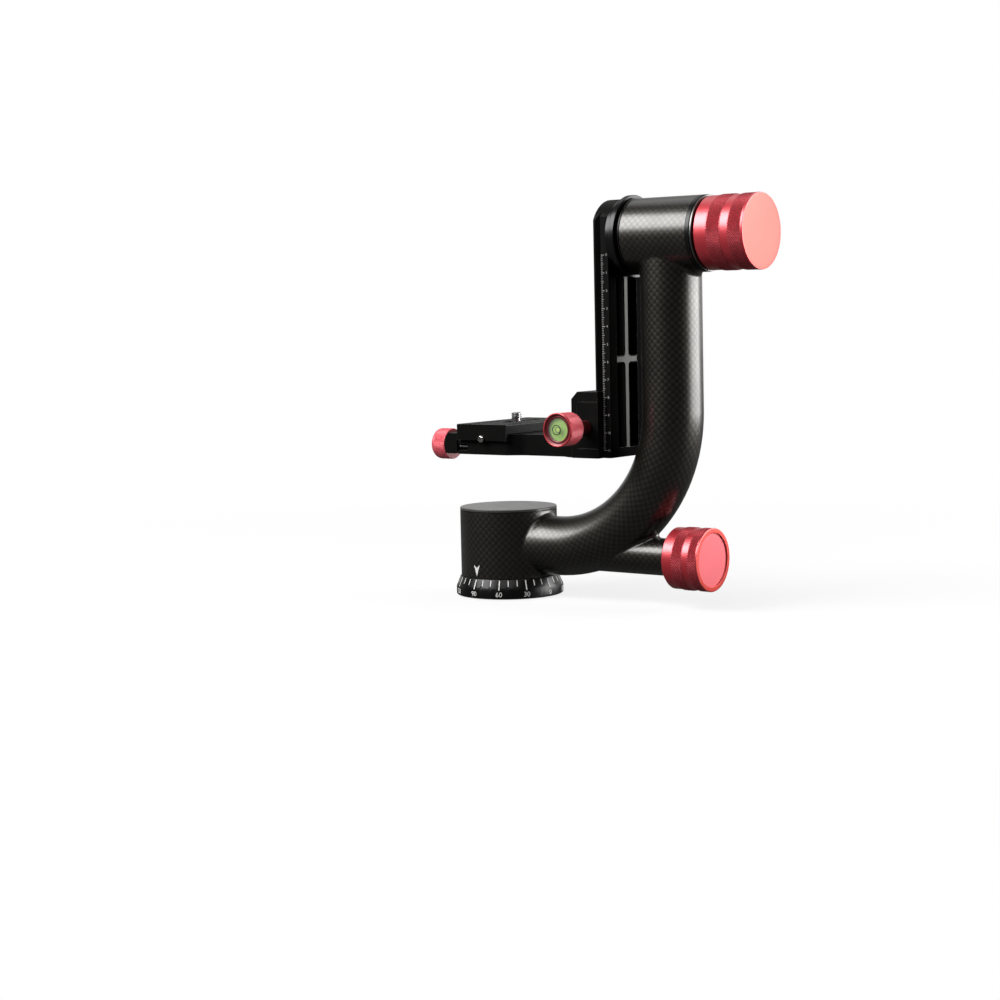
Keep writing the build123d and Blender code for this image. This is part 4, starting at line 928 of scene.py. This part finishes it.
ring_piece("friction_ring_turned", "tilt_brake", DULL_STEEL, TILT_AXIS,
           [(142.5, 9.2), (142.5, 21.0), (143.6, 21.0), (143.6, 9.2)], ["friction_ring"])
ring_piece("tilt_end_ring_turned", "arm", BLACK_TURNED, TILT_AXIS,
           [(139.7, 14.2), (139.7, 21.2), (142.2, 21.2), (142.2, 14.2)], ["tilt_end_ring"])
ring_piece("tilt_hub_turned", "swing", BLACK_TURNED, TILT_AXIS,
           [(87.3, 2.0), (87.3, 21.2), (91.3, 21.2), (91.3, 23.2), (94.4, 23.2), (94.4, 19.6),
            (95.7, 19.6), (95.7, 10.0)], ["tilt_hub"], hollow=False, size=0.3)
ring_piece("lock_bush_turned", "arm", BLACK_TURNED, PAN_LOCK_AXIS,
           [(104.0, 3.2), (104.0, 8.3), (117.5, 8.3), (117.5, 11.0), (118.3, 11.0), (118.3, 3.2)],
           ["lock_bush"], steps=72)

cap = turned("pan_cap_turned", "z", (0, 0, 0),
             eased([(50.4, 18.0), (50.4, 28.35), (50.9, 28.35), (50.9, 29.0), (52.4, 29.0),
                    (52.4, 1.0)], 0.35), 128)
smooth(cap)
# The cap's paler black is painted sheen.
done(cap, "arm", CAP_PAINTED_SHEEN, ["pan_cap"])


# ------------------------------------------------------- straight black parts
CAD_SHAPED = (
    # node, body, finish, edge finish, slot, width of the broken edges
    ("tilt_core", "arm", BLACK_TURNED, None, "black_anodised", 0.12),
    ("base_dial", "base", BLACK_TURNED, BLACK_EDGE, "black_anodised", 0.2),
    ("swing_rail", "swing", BLACK, BLACK_EDGE, "black_anodised", 0.3),
    ("carriage_block", "carriage", BLACK, BLACK_EDGE, "black_anodised", 0.3),
    ("rail_jaw", "rail_jaw", BLACK, BLACK_EDGE, "black_anodised", 0.3),
    ("lens_platform", "carriage", BLACK, BLACK_EDGE, "black_anodised", 0.35),
    ("lens_jaw", "lens_jaw", BLACK, BLACK_EDGE, "black_anodised", 0.3),
    ("lens_plate", "lens_plate", BLACK, BLACK_EDGE, "black_anodised", 0.3),
    ("lens_guide_rods", "carriage", BLACK_STEEL, None, "steel", 0.2),
    ("rail_stop_screw", "swing", BRIGHT, None, "steel", 0.15),
    ("plate_stop_screws", "lens_plate", BRIGHT, None, "bright_steel", 0.15),
    ("hub_screws", "swing", BLACK_STEEL, None, "steel", 0.12),
    ("base_screws", "base", BLACK_STEEL, None, "steel", 0.12),
)
cad_shaped = {row[0]: dressed(*row) for row in CAD_SHAPED}

# Painted shade: a darker, duller copy of the black on the rail's faces towards the arm, up to 187
# mm, and on the side walls of its pocket, which the arm's tube shades.
rail = cad_shaped["swing_rail"]
rail.data.materials.append(BLACK_PAINTED_SHADE)
colour_faces(rail, 2, lambda f: f.normal.x > FACING and f.center.z < 187 * MM)
colour_faces(rail, 2, lambda f: abs(f.normal.y) > FACING and abs(f.center.y) < 11 * MM)


# --------------------------------------------------- making figures and marks
def lettered(text, size, thick=0.06):
    """Plain figures as a flat mesh, in millimetres, centred on the origin, reading along x."""
    drop_selection()
    bpy.ops.object.text_add(location=(0, 0, 0))
    piece = bpy.context.object
    piece.data.body = text
    piece.data.size = size
    piece.data.extrude = thick
    piece.data.align_x = "CENTER"
    piece.data.align_y = "CENTER"
    piece.data.resolution_u = 3
    take(piece)
    bpy.ops.object.convert(target="MESH")
    return bpy.context.object


def wrapped(piece, radius, angle, height):
    """Lay a flat millimetre mesh round an upright barrel, facing out."""
    for vertex in piece.data.vertices:
        across, up, out = vertex.co
        spot = math.radians(angle) + across / radius
        away = (radius + out) * MM
        vertex.co = (away * math.cos(spot), away * math.sin(spot), (height + up) * MM)


def flat_on(piece, place):
    """Lay a flat millimetre mesh on a face: place gives its metre spot from (across, up, out)."""
    for vertex in piece.data.vertices:
        vertex.co = Vector(place(*vertex.co)) * MM


def plain_marks(pieces, name, body, finish):
    marks = join(*pieces)
    marks.name = name
    edit(marks)
    bpy.ops.mesh.select_all(action="SELECT")
    bpy.ops.mesh.remove_doubles(threshold=WELD)
    bpy.ops.mesh.normals_make_consistent(inside=False)
    leave()
    marks.data.materials.clear()
    done(marks, body, finish)


# ------------------------------------------------- figures and marks, dial
DIAL_FOOT = Vector((32.1, 4.9))
DIAL_TOP = Vector((29.4, 11.3))
DIAL_START = 5  # degrees, clockwise from +X to the zero


def dial_tick(top_share, foot_share, half_width):
    """One filled line on the dial's bevel, at +X, from its top share down to its foot share."""
    out = Vector((DIAL_TOP.y - DIAL_FOOT.y, DIAL_FOOT.x - DIAL_TOP.x)).normalized()
    high = DIAL_FOOT.lerp(DIAL_TOP, top_share)
    low = DIAL_FOOT.lerp(DIAL_TOP, foot_share)
    line = [low + out * 0.05, high + out * 0.05, high - out * 0.3, low - out * 0.3]
    return prism("dial_tick", "y", -half_width, 2 * half_width, [tuple(p) for p in line])


dial_pieces = []
short_tick = dial_tick(0.93, 0.42, 0.26)
long_tick = dial_tick(0.93, 0.08, 0.32)
for place in range(36):
    tick = again(long_tick if place % 3 == 0 else short_tick, "dial_tick")
    turn(tick, -(place * 10 + DIAL_START), "z", (0, 0, 0))
    dial_pieces.append(tick)
for tick in (short_tick, long_tick):
    bpy.data.objects.remove(tick)
for number in range(0, 360, 30):
    figures = lettered(str(number), 4.1)
    wrapped(figures, 32.1, -(number + DIAL_START), 2.72)
    dial_pieces.append(figures)
plain_marks(dial_pieces, "dial_marks", "base", WHITE)

pointer = prism("barrel_pointer", "z", -0.1, 0.19,
                [(0, 13.0), (2.3, 19.6), (0, 17.8), (-2.3, 19.6)])
for vertex in pointer.data.vertices:
    vertex.co = vertex.co / MM
wrapped(pointer, BARREL_R, -90 - DIAL_START, 0)
plain_marks([pointer], "barrel_pointer", "arm", WHITE)


# --------------------------------------------------- figures and marks, rail
SCALE_X = 82.55
SCALE_ZERO = 198.8
SCALE_LINES = 111


def rail_line(reach, half):
    """One line of the scale, on the rail's side, at height zero."""
    return prism("rail_line", "-y", -17.97, 0.06, [
        (SCALE_X, -half), (SCALE_X + reach, -half), (SCALE_X + reach, half), (SCALE_X, half)])


rail_pieces = []
long_line = rail_line(2.1, 0.16)
middle_line = rail_line(1.6, 0.13)
fine_line = rail_line(1.1, 0.11)
for step in range(SCALE_LINES):
    source = long_line if step % 10 == 0 else middle_line if step % 5 == 0 else fine_line
    line = again(source, "rail_line")
    line.data.transform(Matrix.Translation((0, 0, (SCALE_ZERO - step) * MM)))
    rail_pieces.append(line)
for line in (long_line, middle_line, fine_line):
    bpy.data.objects.remove(line)
for step in range(12):
    figures = lettered(str(step), 2.0, 0.03)
    flat_on(figures, lambda across, up, out: (
        86.05 + across, -18.0 - out, SCALE_ZERO - step * 10 + up))
    rail_pieces.append(figures)
plain_marks(rail_pieces, "rail_scale_marks", "swing", PALE)


# ----------------------------------------------------------------- rail rib
RIB_TOP = 186.8
RIB_CROSSING = 140.0
RIB_FOOT = 89.7
RIB_HALF = 1.5
RIB_WALL = 10.5
RIB_INSIDE = 2.6
RIB_FLARE = 1.6
CORNER_STEPS = 6


def corner_run(centre, radius, start, end):
    """Points round a corner, from one angle to another, in degrees."""
    points = []
    for step in range(CORNER_STEPS + 1):
        angle = math.radians(start + (end - start) * step / CORNER_STEPS)
        points.append((centre[0] + radius * math.cos(angle), centre[1] + radius * math.sin(angle)))
    return points


def rib_quarter(top):
    """One quarter of the rib's outline, from its end round the crossing to its side."""
    side = RIB_CROSSING + RIB_HALF
    out = corner_run((RIB_HALF + RIB_FLARE, top - RIB_FLARE), RIB_FLARE, 90, 180)
    out += corner_run((RIB_HALF + RIB_INSIDE, side + RIB_INSIDE), RIB_INSIDE, 180, 270)
    out += corner_run((RIB_WALL - RIB_FLARE, side + RIB_FLARE), RIB_FLARE, 270, 360)
    return out


def rib_outline():
    up = rib_quarter(RIB_TOP)
    down = rib_quarter(2 * RIB_CROSSING - RIB_FOOT)
    down = [(y, 2 * RIB_CROSSING - z) for y, z in down]
    right = up + down[::-1]
    left = [(-y, z) for y, z in right[::-1]]
    return right + left


rib = prism("rail_rib", "x", 84.6, 2.4, rib_outline())
break_edges(rib, 0.7, segments=3, angle=40)
smooth(rib, 40)
done(rib, "swing", RIB)


# ------------------------------------------------------------- small knobs
level_knob = turned("level_knob_turned", "-y", LEVEL_AXIS, [
    (23.8, 3.8), (24.0, 4.0), (36.85, 4.0), (36.9, 4.3), (36.9, 7.3), (37.05, 7.5), (38.7, 9.15),
    (38.9, 9.25), (50.05, 9.25), (50.3, 9.4), (50.35, 9.6), (51.3, 9.6), (51.5, 9.5), (51.6, 9.3),
    (51.6, 8.95), (51.5, 8.8), (50.9, 7.85), (50.7, 7.7), (47.2, 7.7)], 84)
knurl(level_knob, "-y", LEVEL_AXIS, 38.9, 11.15, 16, SMALL_KNURL_RISE)
for finish in (RED_SPECKLE, RED_PAINTED_SHADE, RED):
    level_knob.data.materials.append(finish)
# Slot 1 is the shank and the inner slope of the rim, in a darker red that is painted shade; slot 2
# the rest of the rim.
colour_faces(level_knob, 1, lambda f: f.center.y > -36.95 * MM)
colour_faces(level_knob, 2, lambda f: f.center.y < -50.2 * MM)
colour_faces(level_knob, 1, lambda f: (
    -51.45 * MM < f.center.y < -50.2 * MM and f.normal.y < -0.1))
smooth(level_knob, KNOB_ANGLE)
done(level_knob, "level_knob", None, ["level_knob"])

rounding = [(52.0 - 2.6 + 2.6 * math.sin(math.radians(angle)),
             9.25 - 2.6 + 2.6 * math.cos(math.radians(angle)))
            for angle in range(0, 91, 15)]
lens_knob = turned("lens_clamp_knob_turned", "-x", LENS_AXIS, [
    (29.9, 3.8), (30.1, 4.0), (40.95, 4.0), (41.0, 4.3), (41.0, 9.0), (41.2, 9.25),
    *rounding, (52.0, 1.0)], 84)
knurl(lens_knob, "-x", LENS_AXIS, 41.2, 8.2, 12, SMALL_KNURL_RISE)
for finish in (RED_SPECKLE, RED_PAINTED_SHADE):
    lens_knob.data.materials.append(finish)
# The shank takes the darker red: painted shade.
colour_faces(lens_knob, 1, lambda f: f.center.x > -41.05 * MM)
smooth(lens_knob, KNOB_ANGLE)
done(lens_knob, "lens_knob", None, ["lens_clamp_knob"])


# -------------------------------------------------------------- level vial
# The bezel's darker red is painted shade.
bezel = turned("vial_bezel", "-y", LEVEL_AXIS,
               [(47.0, 6.55), (47.0, 7.68), (50.75, 7.68), (50.9, 7.5), (50.9, 6.85),
                (50.7, 6.55)], 84, True)
smooth(bezel)
done(bezel, "level_knob", RED_PAINTED_SHADE)
liquid = turned("vial_filling", "-y", LEVEL_AXIS,
                eased([(46.8, 2.0), (46.8, 6.5), (49.3, 6.5), (49.3, 1.0)], 0.2), 72)
smooth(liquid)
done(liquid, "level_knob", GLOWING_LIQUID, ["level_vial"])
glass = turned("vial_window", "-y", LEVEL_AXIS,
               eased([(49.35, 2.0), (49.35, 6.5), (50.6, 6.5), (50.95, 4.6), (51.1, 2.4),
                      (51.12, 0.6)], 0.15), 72)
smooth(glass)
done(glass, "level_knob", GLASS, ["level_glass"])


def vial_ring(name, shift, inner, outer, front, thick):
    """A thin dark ring in front of the liquid, off the vial's middle by a shift along X: the
    printed mark, and the bubble's rim, whose dark edge is painted shade.
    """
    back = front - thick
    piece = turned(name, "-y", (LEVEL_AXIS[0] - shift, 0, LEVEL_AXIS[2]),
                   [(back, inner), (back, outer), (front, outer), (front, inner)], 64, True)
    done(piece, "level_knob", INK_AND_BUBBLE_SHADE)


vial_ring("vial_ring_mark", 0.6, 2.45, 2.88, 51.22, 0.14)
# The bubble's dark rim is no print: painted shade where its edge bends the light away.
vial_ring("bubble_rim", -0.1, 1.35, 1.62, 50.85, 0.2)
bubble = turned("vial_bubble", "-y", (LEVEL_AXIS[0] + 0.1, 0, LEVEL_AXIS[2]),
                [(50.5, 1.32), (50.77, 1.32), (50.85, 0.9), (50.88, 0.4)], 48)
smooth(bubble)
done(bubble, "level_knob", GLOWING_BUBBLE)


# -------------------------------------------------------- plate pads, screws
PAD_UNDERSIDE, PAD_FACE, PAD_RIB_TOP = 101.6, 102.62, 102.9
PAD_FRONT, PAD_BACK = 40.0, -17.5
PAD_RIBS = 25
PAD_PITCH = 2.27

pad_line = [(PAD_BACK, PAD_UNDERSIDE), (PAD_BACK, PAD_FACE)]
for step in range(PAD_RIBS):
    foot = -17.0 + step * PAD_PITCH
    pad_line += [(foot, PAD_FACE), (foot + 0.25, PAD_RIB_TOP),
                 (foot + 1.35, PAD_RIB_TOP), (foot + 1.6, PAD_FACE)]
pad_line += [(PAD_FRONT, PAD_FACE), (PAD_FRONT, PAD_UNDERSIDE)]
left_pad = prism("plate_pad_left", "x", -14.7, 5.0, pad_line)
right_pad = again(left_pad, "plate_pad_right")
right_pad.data.transform(Matrix.Translation((24.4 * MM, 0, 0)))
done(left_pad, "lens_plate", RUBBER, ["plate_pads"])
done(right_pad, "lens_plate", RUBBER)


THREAD_STEPS = 32


def thread(name, centre, root, tip, pitch, start, turns, body):
    """A screw thread: one ridge's outline, wound round and up the line of the screw."""
    sunk = root + (0.15 if tip < root else -0.15)
    drop_selection()
    bpy.ops.mesh.primitive_circle_add(vertices=4, radius=MM, fill_type="NOTHING")
    piece = bpy.context.object
    piece.name = name
    shape = edit()
    shape.verts.ensure_lookup_table()
    ridge = [(sunk, 0.0), (tip, pitch * 0.42), (tip, pitch * 0.52), (sunk, pitch * 0.94)]
    for vertex, (out, up) in zip(shape.verts, ridge):
        vertex.co = Vector((out, 0, start + up)) * MM
    bmesh.update_edit_mesh(piece.data)
    leave()
    wind = piece.modifiers.new("wind", "SCREW")
    wind.axis = "Z"
    wind.steps = THREAD_STEPS
    wind.render_steps = THREAD_STEPS
    wind.screw_offset = pitch * MM
    wind.iterations = turns
    wind.use_merge_vertices = False
    take(piece)
    bpy.ops.object.modifier_apply(modifier=wind.name)
    edit(piece)
    pick("EDGE", lambda e: e.is_boundary)
    bpy.ops.mesh.edge_face_add()
    bpy.ops.mesh.select_all(action="SELECT")
    bpy.ops.mesh.normals_make_consistent(inside=False)
    leave()
    piece.data.transform(Matrix.Translation(Vector(centre) * MM))
    smooth(piece, 30)
    done(piece, body, STEEL)


SCREW_AXIS = (0, 10.0, 0)
stud = turned("camera_screw_stud", "z", SCREW_AXIS,
              eased([(96.4, 2.3), (96.4, 2.6), (103.1, 2.6), (107.3, 2.6), (107.6, 2.2),
                     (107.6, 0.5)], 0.1), 48)
smooth(stud)
head = turned("camera_screw_head", "z", SCREW_AXIS,
              eased([(93.3, 2.3), (93.3, 5.9), (96.5, 5.9), (96.5, 2.0)], 0.3), 72)
drop_selection()
bpy.ops.mesh.primitive_cylinder_add(
    vertices=6, radius=2.31 * MM, depth=4.0 * MM, location=(0, 0.010, 0.0933))
key = bpy.context.object
bpy.ops.object.transform_apply(location=True, rotation=True, scale=True)
cut(head, key)
smooth(head)
done(head, "camera_screw", STEEL, ["camera_screw"])
done(stud, "camera_screw", STEEL)
thread("camera_screw_thread", SCREW_AXIS, 2.6, 3.175, 1.27, 103.15, 3, "camera_screw")
thread("tripod_socket_thread", (0, 0, 0), 4.0, 3.55, 1.5875, 0.2, 6, "base")


# ------------------------------------------------- finishes of the CAD nodes
INSIDE = {
    "steel": STEEL, "bright_steel": BRIGHT, "brass": BRASS, "black_anodised": BLACK,
    "red_anodised": RED, "brake_resin": RESIN, "pad_rubber": RUBBER, "carbon_weave": CARBON,
    "vial_liquid": GLOWING_LIQUID, "vial_glass": GLASS,
}
for row in frame["record"]["subparts"]:
    mesh = frame["nodes"][row["node"]].data
    mesh.materials.clear()
    mesh.materials.append(INSIDE[row["material_slot"]])


# ------------------------------------------------------------------- studio
# Metres and watts. The floor is light to the camera and dark to every other ray.
drop_selection()
bpy.ops.mesh.primitive_plane_add(size=12, location=(0, 0, -0.0005))
floor = bpy.context.object
floor.name = "studio_floor"
f = Finish("studio_floor")
seen = f.add("ShaderNodeLightPath", out="Is Camera Ray")
far = f.add("ShaderNodeVectorMath", {"operation": "LENGTH"}, {0: f.place()}, "Value")
open_floor = (far * 2.2 - 0.35).clamped()
tone = f.mix(seen, rgb(0.07, 0.07, 0.07), rgb(0.72, 0.72, 0.72))
paper = f.add("ShaderNodeBsdfDiffuse", {}, {"Color": tone}, "BSDF")
glow = f.add("ShaderNodeEmission", {}, {"Color": rgb(1, 1, 1), "Strength": 1.0}, "Emission")
blend = f.add("ShaderNodeMixShader", {}, {
    0: seen * (open_floor * 0.22 + 0.78), 1: paper, 2: glow,
}, "Shader")
f.finish_with(blend.socket)
floor.data.materials.append(f.material)


def softbox(name, spot, aim, wide, tall, power):
    drop_selection()
    bpy.ops.object.light_add(type="AREA", location=spot)
    lamp = bpy.context.object
    lamp.name = name
    lamp.data.shape = "RECTANGLE"
    lamp.data.size = wide
    lamp.data.size_y = tall
    lamp.data.energy = power
    lamp.rotation_euler = (Vector(aim) - Vector(spot)).to_track_quat("-Z", "Y").to_euler()


SOFTBOXES = (
    # name, place, aim, width, height, power
    ("left_softbox", (-0.50, -0.75, 0.85), (0.10, 0, 0.17), 0.90, 0.70, 21.0),
    ("right_softbox", (0.94, 0.66, 0.27), (0.10, 0, 0.14), 1.00, 0.80, 21.5),
    ("front_softbox", (0.50, -0.85, 1.10), (0.05, 0, 0.12), 0.80, 0.60, 4.0),
    ("top_softbox", (-0.30, 0.50, 1.10), (0.05, 0, 0.10), 0.70, 0.70, 1.3),
)
for row in SOFTBOXES:
    softbox(*row)

world = bpy.data.worlds.new("studio_world")
bpy.context.scene.world = world
w = Finish("studio_world", world)
path = w.add("ShaderNodeLightPath", out="Is Camera Ray")
glossy = Value(w, path.socket.node.outputs["Is Glossy Ray"])
clear = Value(w, path.socket.node.outputs["Is Transmission Ray"])
heading = w.add("ShaderNodeTexCoord", out="Generated")
side, rise = (
    w.add("ShaderNodeVectorMath", {"operation": "DOT_PRODUCT"}, {0: heading, 1: way}, "Value")
    for way in ((-0.30, 0.93, -0.20), (0, 0, 1))
)
low_down = (1.0 - rise * 1.35).clamped(0.1, 1.0)
open_side = ((side * 1.1 - 0.05) * low_down).clamped(0.022, 0.85)
seen = path.math("MAXIMUM", clear)
level = (seen + (1.0 - seen) * (glossy * open_side + (1.0 - glossy) * 0.22)).math("MINIMUM", 1.0)
sky = w.add("ShaderNodeBackground", {}, {"Color": rgb(1, 1, 1), "Strength": level}, "Background")
w.finish_with(sky.socket)
